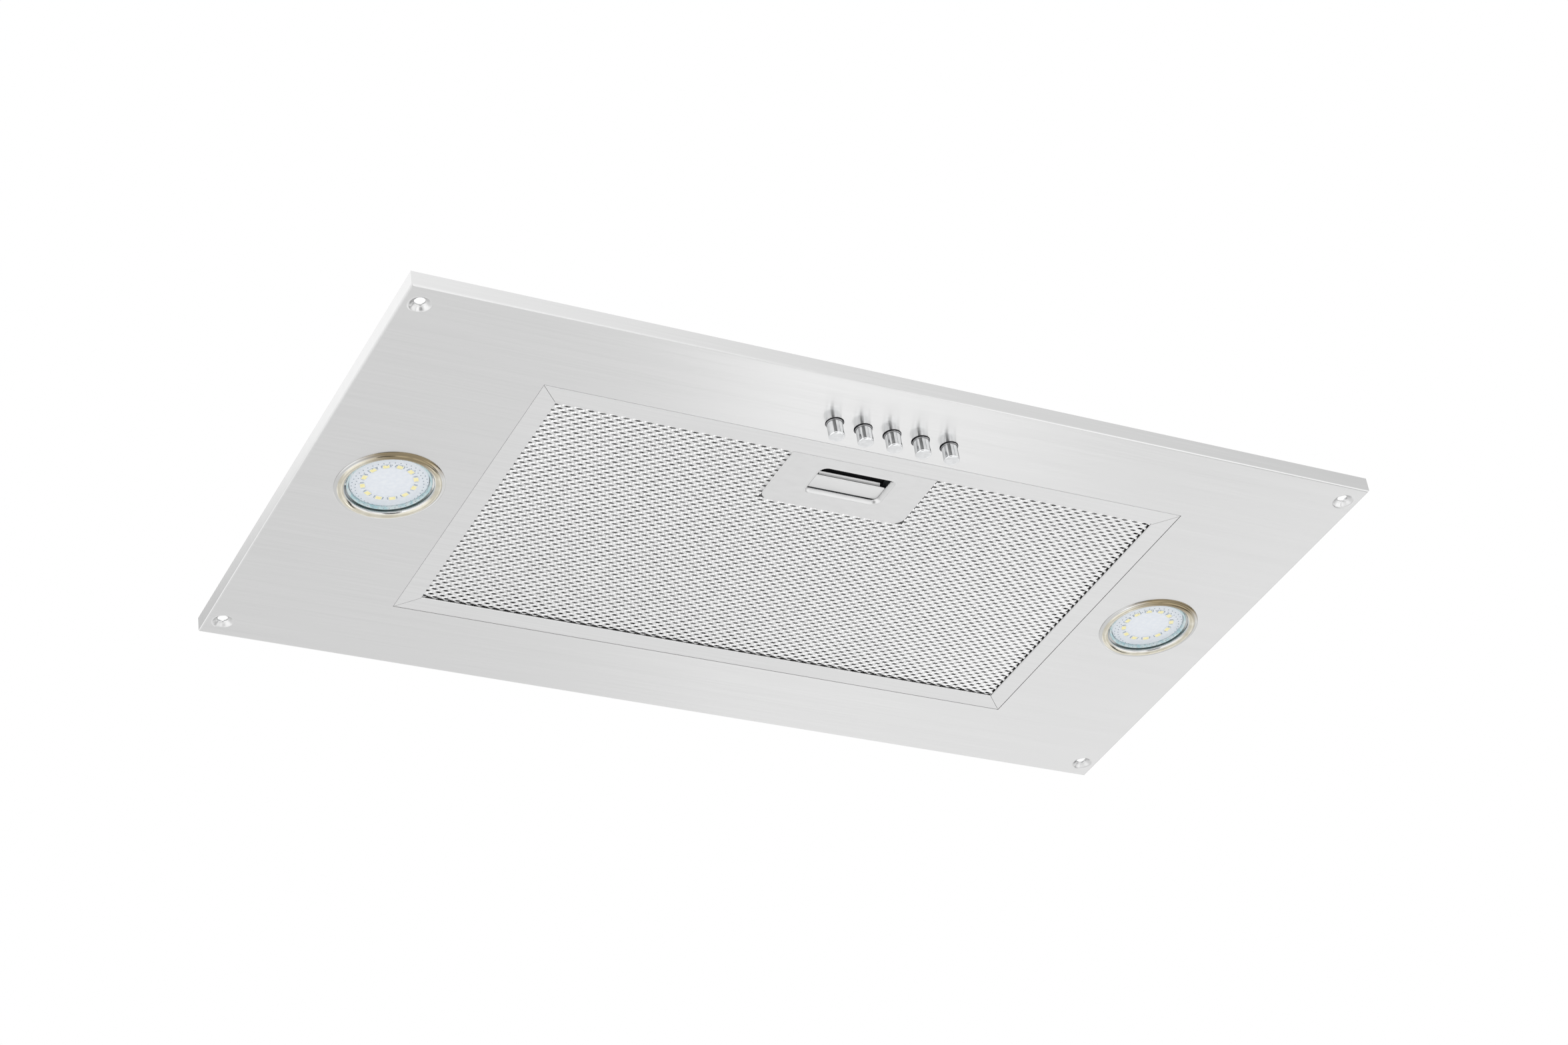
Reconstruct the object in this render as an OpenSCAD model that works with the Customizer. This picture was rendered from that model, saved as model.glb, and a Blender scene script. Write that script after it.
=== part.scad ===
// Undermount range hood: a low cabinet insert with a stainless fascia, a hinged grease filter,
// five push buttons, two lamps and a flat centrifugal blower under a round duct collar.
// Origin: centre of the fascia's visible face. +X right, +Y to the wall, +Z up into the cabinet.

/* [Fascia panel] */
// Width of the fascia, side to side
panel_w = 520; // [516:1:620]
// Depth of the fascia, front to wall
panel_d = 281; // [276:1:330]
// Height of the turned-up rim
rim_h = 8.2; // [6:0.1:14]
// Thickness of the stainless sheet
sheet_t = 0.8; // [0.6:0.1:1.2]
// Outside radius of the rim's bend
bend_r = 1.6; // [1.4:0.1:3]

/* [Cabinet screws] */
// Distance of each screw hole from the fascia's side edge
screw_side = 8.5; // [8:0.1:10]
// Distance of each screw hole from the fascia's front or back edge
screw_end = 11.5; // [8.5:0.1:14]
// Radius of the screw holes
screw_r = 2.8; // [2:0.1:3.4]
// Radius of the dimple pressed round each hole, at the face
dimple_r = 6; // [5.5:0.1:6.4]
// Height that the dimple is pressed up
dimple_h = 2.6; // [1.5:0.1:4]

/* [Grease filter] */
// Width of the filter
filter_w = 351; // [330:1:356]
// Depth of the filter, front to back
filter_d = 185.5; // [175:0.5:190]
// Thickness of the filter
filter_t = 9; // [8.6:0.1:12]
// Width of the frame's visible strip
strip_w = 10.6; // [9:0.1:14]
// Thickness of the frame's aluminium sheet
frame_t = 0.8; // [0.6:0.1:1]
// Height of the frame's turned-up inner edge, where the mesh lies
lip_h = 2.2; // [2:0.1:2.6]
// Gap all round between the filter and the fascia's opening
filter_gap = 0.7; // [0.5:0.1:1.2]
// Gap at each corner where the frame's strips meet at a mitre
mitre_gap = 0.2; // [0.1:0.05:0.4]
// Thickness of each outer mesh
mesh_t = 0.8; // [0.6:0.1:1]
// Columns of mesh openings that are drawn
mesh_columns = 20; // [8:1:20]
// Rows of mesh openings that are drawn
mesh_rows = 14; // [6:1:14]
// Width of a mesh strand
strand_w = 3; // [2:0.1:4]
// Thickness of the pleated core
core_t = 0.4; // [0.3:0.1:0.5]
// Pleats in the core
core_pleats = 26; // [16:1:34]
// Length of the two tabs on the filter's back edge
tab_w = 30; // [20:1:40]
// Reach of the tabs behind the filter
tab_reach = 4.6; // [3:0.1:5]

/* [Filter latch] */
// Width of the latch plate
plate_w = 80; // [70:1:90]
// Depth of the latch plate
plate_d = 38.8; // [36:0.1:44]
// Thickness of the latch plate
plate_t = 0.6; // [0.5:0.1:0.8]
// Width of the finger hole at its narrow end
finger_w = 38; // [32:0.5:40]
// Depth of the finger hole at its narrow end
finger_d = 17.7; // [16.5:0.1:19]
// Width of the pressed lip round the finger hole
finger_lip = 2.6; // [2:0.1:3]
// Distance of the finger hole's middle from the plate's front edge
finger_set = 16.6; // [15.5:0.1:18]
// Travel of the latch
latch_travel = 5; // [3:0.5:5]
// Width of the latch's tongue
tongue_w = 14; // [10:1:18]

/* [Buttons] */
// Number of push buttons
button_count = 5; // [5:1:5]
// Distance between neighbouring buttons
button_pitch = 15.8; // [13:0.1:18]
// Radius of a button
button_r = 3.9; // [3.4:0.1:4.2]
// Length of a button below the fascia
button_out = 8.2; // [6:0.1:12]
// Travel of a button
button_travel = 4; // [2:0.5:5]
// Distance of the button row from the filter's front edge
button_set = 15.4; // [14.8:0.1:18]
// Width of the ring round each button
collar_w = 0.9; // [0.7:0.1:1.2]
// Depth of the switch block, front to back
switch_d = 17; // [15:0.1:17.2]
// Height of the switch block
switch_h = 18.9; // [18.5:0.1:24]

/* [Lamps] */
// Place of each lamp, from the filter's opening (0) to the fascia's side edge (1)
lamp_share = 0.45823; // [0.45:0.00001:0.47]
// Outside radius of the lamp's ring
ring_r = 26.5; // [25.6:0.1:28]
// Radius of the ring's opening
ring_hole_r = 21.2; // [20.9:0.1:22]
// Thickness of the ring below the fascia
ring_t = 2.4; // [1.5:0.1:4]
// Radius of the bulb's glass cup
bulb_r = 20.5; // [18:0.1:20.6]
// Length of the bulb's glass cup
bulb_h = 30; // [24:0.5:34]
// Height of the lamp's circuit board above the fascia's face
board_z = 2.2; // [1.8:0.1:3]

/* [Air chamber] */
// Height of the chamber's deck above the face
chamber_h = 43; // [38:0.5:60]
// Thickness of the galvanised sheet
case_t = 0.8; // [0.6:0.1:1.2]
// Place of the chamber's side, from the filter (0) to the lamp's sleeve (1)
ledge_share = 0.45753; // [0.45:0.00001:0.48]
// Ledge between the filter and the chamber's front
front_ledge = 6.2; // [5.8:0.1:6.3]
// Ledge between the filter and the chamber's back
back_ledge = 31.2; // [24:0.1:36]
// Width of the chamber's foot flange at the front and back
foot_w = 4.5; // [3:0.1:4.6]
// Width of the foot flange at the sides, as a share of the room up to the lamp's sleeve
foot_share = 0.54; // [0.4:0.01:0.6]

/* [Blower box] */
// Height of the blower box
box_h = 62.2; // [62:0.2:80]
// Distance from the chamber's side to the box's side
box_side = 32.5; // [30:0.5:36]
// Distance from the chamber's front to the foot of the sloped wall
box_front = 3; // [2:0.1:6]
// Run of the sloped front wall, front to back
slope_run = 68; // [60:0.5:70]

/* [Blower] */
// Radius of the wheel
wheel_r = 55; // [50:0.5:57]
// Gap between the wheel and the scroll's top plate
wheel_gap = 3.9; // [3.6:0.1:9]
// Number of blades
blade_count = 36; // [24:1:40]
// Radial depth of a blade
blade_d = 8.5; // [7:0.1:10]
// Thickness of a blade
blade_t = 0.8; // [0.6:0.1:1]
// Gap between the wheel and the scroll's tongue
tongue_gap = 5; // [4:0.1:7]
// Growth of the scroll's radius from tongue to outlet
scroll_grow = 16; // [12:0.5:20]
// Distance of the wheel's axis from the hood's middle
blower_off = 62; // [56:0.5:66]
// Radius of the motor
motor_r = 32; // [26:0.5:33]
// Radius of the motor's shaft
shaft_r = 3; // [2.5:0.1:4]

/* [Duct collar] */
// Outside radius of the duct collar
duct_r = 60; // [50:0.5:61]
// Height of the duct collar above the box
duct_h = 28; // [22:0.5:60]
// Thickness of a damper flap
flap_t = 1; // [0.8:0.1:1.2]
// Radius of the flaps' hinge rod
rod_r = 1.5; // [1.2:0.1:1.8]

/* [Electrics] */
// Length of the junction box
junction_l = 110; // [100:1:120]
// Height of the junction box
junction_h = 28; // [26:0.5:34]
// Radius of the hole for the mains cable
cable_r = 4; // [3:0.1:4.6]
// Length of the cable gland
gland_l = 24; // [22:0.5:30]
// Length of the lamp driver
driver_l = 90; // [70:1:100]
// Height of the lamp driver
driver_h = 21; // [16:0.5:26]

/* [Hidden] */
$fn = 64;

// Clearances
slide_gap = 0.1;
run_gap = 0.04;
seat_gap = 0.02;
rest_gap = 0.15;
loose_gap = 0.3;

// Fascia
panel_hx = panel_w / 2;
panel_hy = panel_d / 2;
screw_x = panel_hx - screw_side;
screw_y = panel_hy - screw_end;
opening_w = filter_w + 2 * filter_gap;
opening_d = filter_d + 2 * filter_gap;

// Lamp holes
lamp_x = opening_w / 2 + (panel_hx - opening_w / 2) * lamp_share;
lamp_hole_r = ring_hole_r + 2.8;
sleeve_r = lamp_hole_r - 0.2;
lamp_in = lamp_x - sleeve_r;

// Air chamber, from the filter outwards
chamber_w = filter_w + (2 * lamp_in - filter_w) * ledge_share;
side_foot = (lamp_in - chamber_w / 2) * foot_share;
chamber_y0 = -filter_d / 2 - front_ledge;
chamber_y1 = filter_d / 2 + back_ledge;
deck_z = chamber_h + case_t;
deck_flange = 8;

// Blower box
box_w = chamber_w - 2 * box_side;
box_y0 = chamber_y0 + box_front;
box_y1 = chamber_y1;
box_z1 = deck_z + box_h;
slope_l = norm([slope_run, box_h]);
slope_y = box_y0 + slope_run;
tab_l = 16;
tab_out = 10;
tab_front = 26;
tab_back = 24;
tab_front_y = box_y0 + tab_front;
tab_back_y = box_y1 - tab_back;
case_screw_r = 1.5;
case_head_r = 3;
case_head_h = 2;
case_screw_l = 6;
deck_screw_x = chamber_w / 2 - 10;
deck_screw_y0 = chamber_y0 + 14;
deck_screw_y1 = chamber_y1 - 12;

// Blower, from the box's top down
mount_t = 1.2;
mount_z = box_z1 - case_t - 4.2;
grommet_h = 2.2;
scroll_z1 = mount_z - grommet_h - case_t;
scroll_r0 = wheel_r + tongue_gap;
scroll_r1 = scroll_r0 + scroll_grow;
blower_x = -blower_off;
blower_y = box_y1 - case_t - 1.4 - case_t - scroll_r1;
scroll_a0 = 40;
scroll_sweep = 310;
scroll_run = 72;
scroll_out_x = blower_x + scroll_run;
cup_r = motor_r + 3;
cup_t = 1;
throat_r = wheel_r - blade_d - 2;
bell_r = 6;
bell_t = 0.8;
bell_z = chamber_h - bell_t + bell_r;
ring_lip = 1.8;
wheel_t = 0.8;
wheel_z0 = bell_z + ring_lip + 1.5;
wheel_z1 = scroll_z1 - wheel_gap;
blade_h = wheel_z1 - wheel_z0 - 2 * wheel_t;
cup_z = wheel_z0 + 9.5;
motor_z0 = cup_z + 5;
motor_t = 1.2;
grommet_r = 5;
grommet_at = motor_r + 9;
bearing_r = 8;
bearing_h = 5;
rotor_r = 17;
rotor_gap = 2.5;
rotor_h = mount_z - motor_z0 - 2 * (bearing_h + 1 + rotor_gap);
vent_at = 24;
vent_r = 6;
rotor_z = (motor_z0 + mount_z) / 2 - rotor_h / 2;
shaft_z0 = wheel_z0 + 1;

// Duct collar
flange_r = duct_r + 4;
duct_x = box_w / 2 - flange_r - 3;
duct_y = box_y1 - flange_r - 0.5;
duct_z1 = box_z1 + duct_h;
rod_z = box_z1 + 7;
flap_r = duct_r - case_t - 0.8;
knuckle_r = rod_r + 0.9;
knuckle_l = 12;
knuckle_at = 20;
flap_edge = knuckle_r + 0.6;

// Grease filter
filter_hx = filter_w / 2;
filter_hy = filter_d / 2;
window_hx = filter_hx - strip_w;
window_hy = filter_hy - strip_w;
mesh_hx = filter_hx - frame_t - rest_gap;
mesh_hy = filter_hy - frame_t - rest_gap;
pack_z1 = filter_t - frame_t - rest_gap;
core_z0 = lip_h + mesh_t;
core_h = pack_z1 - mesh_t - core_z0;
tab_z = sheet_t + loose_gap;

// Latch, measured from the plate's front edge
plate_z = 0.3;
plate_y0 = -window_hy + rest_gap;
plate_y1 = plate_y0 + plate_d;
plate_r = 6;
finger_y = plate_y0 + finger_set;
housing_w = finger_w + 11;
housing_y0 = plate_y0 + 0.6;
housing_y1 = finger_y + finger_d / 2 + 6.4;
housing_t = 0.6;
housing_z1 = pack_z1 + 0.1;
slider_t = 0.8;
slider_z = lip_h + 0.1 + rest_gap;
slider_y = finger_y - 1.3;
slider_back = finger_y + finger_d / 2 - 0.6;
tongue_tip = -filter_hy - filter_gap + loose_gap;
slot_gap = 0.3;
rail_z = housing_z1 - housing_t - loose_gap;

// Buttons and switch block
row_y = -filter_hy - button_set;
switch_hx = button_pitch * (button_count - 1) / 2 + 9.4;
switch_z0 = 2 * sheet_t;
switch_z1 = switch_z0 + switch_h;
floor_t = 1;
guide_z = switch_z0 + switch_h * 0.66;
guide_t = 1.2;
collar_r = button_r + slide_gap + 0.5;
plunger_r = button_r + 1.1;
stem_r = 2.2;
stem_top = guide_z + guide_t + 0.3;
flange_z = switch_z0 + floor_t + 0.05;
flange_t = 1.5;
cell_r = plunger_r + 0.4;
lug_l = 8;
lug_t = 3.4;
spring_wire = 0.35;
spring_turns = 5;
lid_t = 1.8;

// Lamps
sleeve_t = 1.2;
sleeve_h = 9;
bulb_t = 1.2;
bulb_z = 0.9;
bulb_neck_r = 10;
board_r = bulb_r - bulb_t - 0.3;
board_t = 1.4;
base_h = 14;
pin_r = 0.8;
pin_at = 2.65;
pin_l = 5;
holder_r = 12;
holder_h = 14;
base_z = bulb_z + bulb_h;
holder_z = base_z + base_h + 0.1;
strap_w = 14;
strap_t = 1;
strap_in = sleeve_r + 1.5;
strap_foot = 8;

// Electrics on the deck, beside the blower box
junction_x1 = -box_w / 2 - 3;
junction_x0 = -chamber_w / 2 + 2.5;
junction_y0 = -42;
junction_y1 = junction_y0 + junction_l;
junction_t = 1;
terminal_set = 34;
junction_x = (junction_x0 + junction_x1) / 2;
gland_z = deck_z + junction_h * 0.5;
gland_r = cable_r + 3;
nut_r = cable_r + 4.4;
driver_x0 = box_w / 2 + 4;
driver_x1 = chamber_w / 2 - 2.5;
driver_x = (driver_x0 + driver_x1) / 2;
driver_y0 = -40;
driver_y1 = driver_y0 + driver_l;
ear_l = 9;
ear_w = 12;
ear_t = 2;
capacitor_r = 10;
capacitor_l = 36;
wire_r = 1.3;

// Box between two corners
module block(lo, hi) {
    translate(lo) cube(hi - lo);
}

// Round-cornered rectangle, centred
module round_rect(w, d, r) {
    square([w - 2 * r, d], center = true);
    square([w, d - 2 * r], center = true);
    for (sx = [-1, 1], sy = [-1, 1])
        translate([sx * (w / 2 - r), sy * (d / 2 - r)]) circle(r);
}

// Ring with a square section
module tube(r_out, r_in, h) {
    difference() {
        cylinder(r = r_out, h = h);
        translate([0, 0, -1]) cylinder(r = r_in, h = h + 2);
    }
}

// Screw pointing down, its head standing on z = 0
module screw(r, l, head_r, head_h) {
    translate([0, 0, -l]) cylinder(r = r, h = l);
    cylinder(r = head_r, h = head_h);
}

// Point on a smooth curve through p[1] and p[2], t from 0 to 1
function curve_point(p, t) =
    0.5 * (2 * p[1] + (p[2] - p[0]) * t
    + (2 * p[0] - 5 * p[1] + 4 * p[2] - p[3]) * t * t
    + (3 * p[1] - p[0] - 3 * p[2] + p[3]) * t * t * t);

// Points of a smooth curve through a list of points, with n steps between neighbours
function smooth(points, n) =
    let (last = len(points) - 1)
    [for (i = [0 : last - 1], j = [0 : n - 1])
        curve_point([points[max(i - 1, 0)], points[i], points[i + 1], points[min(i + 2, last)]], j / n),
     points[last]];

function unit(v) = v / norm(v);

// Direction of a path at its point i
function heading(path, i) =
    unit(path[min(i + 1, len(path) - 1)] - path[max(i - 1, 0)]);

// Round bar of radius r along a path, with the given number of sides
module swept_bar(path, r, sides, up) {
    rings = len(path);
    points = [for (i = [0 : rings - 1])
        let (d = heading(path, i), u = unit(cross(d, up)), v = cross(u, d))
        for (k = [0 : sides - 1])
            path[i] + r * (u * cos(360 * k / sides) + v * sin(360 * k / sides))];
    sides_up = [for (i = [0 : rings - 2], k = [0 : sides - 1])
        let (a = i * sides + k, b = i * sides + (k + 1) % sides)
        each [[a, b, a + sides], [b, b + sides, a + sides]]];
    first = [for (k = [1 : sides - 2]) [0, k + 1, k]];
    base = (rings - 1) * sides;
    last = [for (k = [1 : sides - 2]) [base, base + k, base + k + 1]];
    polyhedron(points, concat(sides_up, first, last));
}

// Coil spring standing on z = 0, as one unbroken bar
module coil(r, wire, turns, h) {
    steps = turns * 8;
    rise = h - 2 * wire;
    path = [for (i = [0 : steps])
        [r * cos(360 * i / 8), r * sin(360 * i / 8), wire + rise * i / steps]];
    swept_bar(path, wire, 6, [0, 0, 1]);
}

// Section of a tray with its two lower corners rounded
module tray_section(w, h, r) {
    translate([-w / 2, r]) square([w, h - r]);
    translate([-w / 2 + r, 0]) square([w - 2 * r, r]);
    for (s = [-1, 1])
        translate([s * (w / 2 - r), r]) circle(r);
}

// Solid of a tray, rounded along its four lower edges
module tray_solid(w, d, h, r) {
    intersection() {
        rotate([90, 0, 0]) linear_extrude(d, center = true) tray_section(w, h, r);
        rotate([90, 0, 90]) linear_extrude(w, center = true) tray_section(d, h, r);
    }
}

module at_screws() {
    for (sx = [-1, 1], sy = [-1, 1])
        translate([sx * screw_x, sy * screw_y, 0]) children();
}

module at_buttons() {
    for (i = [0 : button_count - 1])
        translate([button_x(i), row_y, 0]) children();
}

function button_x(i) = (i - (button_count - 1) / 2) * button_pitch;

// Visible stainless tray with the filter opening, lamp and button holes and four dimples
module fascia_panel() {
    color("gainsboro") difference() {
        union() {
            difference() {
                tray_solid(panel_w, panel_d, rim_h, bend_r);
                translate([0, 0, sheet_t])
                    tray_solid(panel_w - 2 * sheet_t, panel_d - 2 * sheet_t, rim_h, bend_r - sheet_t);
            }
            at_screws() cylinder(r1 = dimple_r + 0.9, r2 = screw_r + 1.1, h = dimple_h + sheet_t);
        }
        at_screws() {
            translate([0, 0, -1]) cylinder(r = screw_r, h = dimple_h + 4);
            cylinder(r1 = dimple_r, r2 = screw_r, h = dimple_h);
        }
        block([-opening_w / 2, -opening_d / 2, -1], [opening_w / 2, opening_d / 2, sheet_t + 1]);
        for (s = [-1, 1])
            translate([s * lamp_x, 0, -1]) cylinder(r = lamp_hole_r, h = sheet_t + 2);
        translate([0, 0, -1]) at_buttons() cylinder(r = collar_r + slide_gap, h = sheet_t + 2);
    }
}

// Side walls of the air chamber, with a foot flange outside and a deck flange inside
module chamber_walls() {
    hx = chamber_w / 2;
    color("lightsteelblue") difference() {
        union() {
            block([-hx, chamber_y0, sheet_t], [hx, chamber_y1, chamber_h]);
            block([-hx - side_foot, chamber_y0 - foot_w, sheet_t],
                  [hx + side_foot, chamber_y1 + foot_w, sheet_t + case_t]);
        }
        block([-hx + case_t, chamber_y0 + case_t, 0], [hx - case_t, chamber_y1 - case_t, chamber_h - case_t]);
        block([-hx + deck_flange, chamber_y0 + case_t, 0],
              [hx - deck_flange, chamber_y1 - case_t, chamber_h + 1]);
        block([-switch_hx - lug_l - 2, chamber_y0 - foot_w - 1, 0],
              [switch_hx + lug_l + 2, chamber_y0, sheet_t + case_t + 1]);
        at_deck_screws() translate([0, 0, chamber_h - 3]) cylinder(r = case_screw_r + 0.05, h = 4);
    }
}

module at_deck_screws() {
    for (sx = [-1, 1], y = [deck_screw_y0, deck_screw_y1])
        translate([sx * deck_screw_x, y, 0]) children();
}

module at_box_tabs() {
    for (sx = [-1, 1], y = [tab_front_y, tab_back_y])
        translate([sx * (box_w / 2 + tab_out / 2), y, 0]) children();
}

// Deck between the air chamber and the blower box
module blower_deck() {
    hx = chamber_w / 2;
    color("lightsteelblue") difference() {
        block([-hx, chamber_y0, chamber_h], [hx, chamber_y1, deck_z]);
        translate([blower_x, blower_y, chamber_h - 1])
            cylinder(r = throat_r + bell_r + 1.5, h = case_t + 2);
        at_deck_screws() translate([0, 0, chamber_h - 1]) cylinder(r = case_screw_r + 0.05, h = case_t + 2);
        at_box_tabs() translate([0, 0, chamber_h - 1]) cylinder(r = case_screw_r + 0.05, h = case_t + 2);
        at_driver_ears() translate([0, 0, chamber_h - 1]) cylinder(r = case_screw_r + 0.05, h = case_t + 2);
    }
}

// Box round the blower, with a sloped front and screw tabs at its foot
module blower_box() {
    shift = case_t * slope_l / box_h;
    inner_top = box_z1 - case_t;
    color("lightsteelblue") difference() {
        union() {
            rotate([90, 0, 90]) linear_extrude(box_w, center = true)
                polygon([[box_y0, deck_z], [box_y1, deck_z], [box_y1, box_z1], [slope_y, box_z1]]);
            at_box_tabs() translate([0, 0, deck_z + case_t / 2])
                cube([tab_out + 2 * case_t, tab_l, case_t], center = true);
        }
        rotate([90, 0, 90]) linear_extrude(box_w - 2 * case_t, center = true)
            polygon([[box_y0 + shift - slope_run / box_h, deck_z - 1],
                     [box_y1 - case_t, deck_z - 1],
                     [box_y1 - case_t, inner_top],
                     [box_y0 + shift + slope_run * (inner_top - deck_z) / box_h, inner_top]]);
        translate([duct_x, duct_y, inner_top - 1]) cylinder(r = duct_r - case_t, h = case_t + 2);
        at_box_tabs() translate([0, 0, deck_z - 1]) cylinder(r = case_screw_r + 0.05, h = case_t + 2);
        translate([-box_w / 2 - 1, motor_lead_y, motor_lead_z]) rotate([0, 90, 0])
            cylinder(r = wire_r + loose_gap, h = case_t + 2);
    }
}

// Bell-mouthed inlet under the wheel
module inlet_ring() {
    color("silver") translate([blower_x, blower_y, 0]) rotate_extrude() {
        difference() {
            translate([throat_r + bell_r, bell_z]) circle(bell_r);
            translate([throat_r + bell_r, bell_z]) circle(bell_r - bell_t);
            translate([throat_r + bell_r, bell_z - bell_r - 1]) square(2 * bell_r + 2);
            translate([throat_r - 1, bell_z]) square(2 * bell_r + 2);
        }
        translate([throat_r, bell_z]) square([bell_t, ring_lip]);
        translate([throat_r + bell_r, bell_z - bell_r]) square([8, bell_t]);
    }
}

function scroll_r(a) = scroll_r0 + scroll_grow * a / scroll_sweep;

// Outline of the scroll's air space, grown by g, with its mouth at the given place
module scroll_outline(g, mouth_x) {
    steps = 48;
    tongue_y = scroll_r0 * sin(scroll_a0) - g;
    first = scroll_a0 - asin(tongue_y / (scroll_r0 + g));
    spiral = [for (i = [0 : steps])
        let (a = first + (scroll_sweep - first) * i / steps, r = scroll_r(a) + g)
        r * [cos(scroll_a0 - a), sin(scroll_a0 - a)]];
    out = mouth_x - blower_x;
    translate([blower_x, blower_y])
        polygon(concat(spiral, [[out, scroll_r1 + g], [out, tongue_y]]));
}

// Spiral wall and top plate round the wheel
module scroll_housing() {
    color("lightsteelblue") difference() {
        translate([0, 0, deck_z]) linear_extrude(scroll_z1 + case_t - deck_z)
            scroll_outline(case_t, scroll_out_x);
        translate([0, 0, deck_z - 1]) linear_extrude(scroll_z1 - deck_z + 1)
            scroll_outline(0, scroll_out_x + 1);
        translate([blower_x, blower_y, scroll_z1 - 1]) cylinder(r = motor_r + 4, h = case_t + 2);
        at_grommets() translate([0, 0, scroll_z1 - 1]) cylinder(r = grommet_r - 2, h = case_t + 2);
    }
}

module at_grommets() {
    for (a = [90, 210, 330])
        translate([blower_x + grommet_at * cos(a), blower_y + grommet_at * sin(a), 0]) children();
}

// Round plate that carries the motor on three grommets
module motor_mount() {
    color("silver") difference() {
        translate([blower_x, blower_y, mount_z]) cylinder(r = grommet_at + grommet_r, h = mount_t);
        translate([blower_x, blower_y, mount_z - 1]) cylinder(r = bearing_r + 1, h = mount_t + 2);
        at_grommets() translate([0, 0, mount_z - 1]) cylinder(r = case_screw_r + 0.05, h = mount_t + 2);
        for (a = [30, 150, 270])
            translate([blower_x + vent_at * cos(a), blower_y + vent_at * sin(a), mount_z - 1])
                cylinder(r = vent_r, h = mount_t + 2);
    }
}

// Rubber spools between the scroll and the motor's mount
module motor_grommets() {
    color("dimgray") at_grommets() difference() {
        union() {
            translate([0, 0, scroll_z1 + case_t]) cylinder(r = grommet_r, h = grommet_h);
            translate([0, 0, scroll_z1 - 1]) cylinder(r = grommet_r - 2 - seat_gap, h = case_t + 2);
            translate([0, 0, scroll_z1 - 1.4]) cylinder(r = grommet_r - 0.6, h = 1.4);
        }
        translate([0, 0, scroll_z1 - 2]) cylinder(r = case_screw_r + 0.05, h = grommet_h + case_t + 4);
    }
}

// Motor case, hung from its mount inside the wheel's cup
module motor_can() {
    color("slategray") translate([blower_x, blower_y, 0]) difference() {
        union() {
            difference() {
                translate([0, 0, motor_z0]) cylinder(r = motor_r, h = mount_z - motor_z0);
                translate([0, 0, motor_z0 + motor_t])
                    cylinder(r = motor_r - motor_t, h = mount_z - motor_z0 - 2 * motor_t);
            }
            translate([0, 0, motor_z0]) cylinder(r = bearing_r + 2, h = bearing_h + 1);
            translate([0, 0, mount_z - bearing_h - 1]) cylinder(r = bearing_r + 2, h = bearing_h + 1);
        }
        translate([0, 0, motor_z0 - 1]) cylinder(r = bearing_r + seat_gap, h = bearing_h + 1);
        translate([0, 0, motor_z0 - 1]) cylinder(r = shaft_r + 1.5, h = mount_z - motor_z0 + 2);
        translate([0, 0, mount_z - bearing_h]) cylinder(r = bearing_r + seat_gap, h = bearing_h + 1);
    }
}

// Laminated stator with its windings
module motor_stator() {
    color("peru") translate([blower_x, blower_y, rotor_z]) difference() {
        union() {
            cylinder(r = motor_r - motor_t - seat_gap, h = rotor_h);
            translate([0, 0, -rotor_gap])
                cylinder(r = motor_r - motor_t - 3, h = rotor_h + 2 * rotor_gap);
        }
        translate([0, 0, -3]) cylinder(r = rotor_r + 0.5, h = rotor_h + 6);
    }
}

// Two sleeve bearings in the motor's ends
module motor_bearings() {
    color("goldenrod") translate([blower_x, blower_y, 0])
        for (z = [motor_z0, mount_z - bearing_h])
            translate([0, 0, z]) tube(bearing_r, shaft_r + run_gap, bearing_h);
}

// Shaft with its rotor core and the nut that holds the wheel
module motor_shaft() {
    color("lightgray") translate([blower_x, blower_y, 0]) {
        translate([0, 0, shaft_z0]) cylinder(r = shaft_r, h = mount_z - 0.5 - shaft_z0);
        translate([0, 0, rotor_z]) cylinder(r = rotor_r, h = rotor_h);
        translate([0, 0, shaft_z0]) cylinder(r = shaft_r + 3, h = 3, $fn = 6);
    }
}

// Forward-curved wheel, its hub dished round the motor
module fan_wheel() {
    blade_z = wheel_z0 + wheel_t;
    arc_r = blade_d * 0.62;
    boss_z = shaft_z0 + 3;
    color("whitesmoke") translate([blower_x, blower_y, 0]) {
        translate([0, 0, wheel_z0]) tube(wheel_r, wheel_r - blade_d, wheel_t);
        for (i = [0 : blade_count - 1])
            rotate([0, 0, i * 360 / blade_count]) translate([wheel_r - blade_d / 2, 0, blade_z])
                linear_extrude(blade_h) blade_section(arc_r);
        difference() {
            union() {
                translate([0, 0, wheel_z1 - wheel_t]) cylinder(r = wheel_r, h = wheel_t);
                translate([0, 0, cup_z]) cylinder(r = cup_r + cup_t, h = wheel_z1 - cup_z);
                translate([0, 0, boss_z]) cylinder(r = shaft_r + 4.5, h = cup_z + cup_t - boss_z);
            }
            translate([0, 0, cup_z + cup_t]) cylinder(r = cup_r, h = wheel_z1);
            translate([0, 0, boss_z - 1]) cylinder(r = shaft_r + seat_gap, h = wheel_z1);
        }
    }
}

// One blade: an arc across the wheel's rim, hollow to the front
module blade_section(r) {
    half = blade_d / 2 - 0.1;
    drop = sqrt(r * r - half * half);
    difference() {
        translate([0, -drop]) circle(r + blade_t / 2);
        translate([0, -drop]) circle(r - blade_t / 2);
        translate([-2 * r, -drop - 2 * r]) square([4 * r, 2 * r + drop + 0.01]);
        for (s = [-1, 1])
            translate([s > 0 ? half : -half - 2 * r, -r]) square([2 * r, 3 * r]);
    }
}

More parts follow.
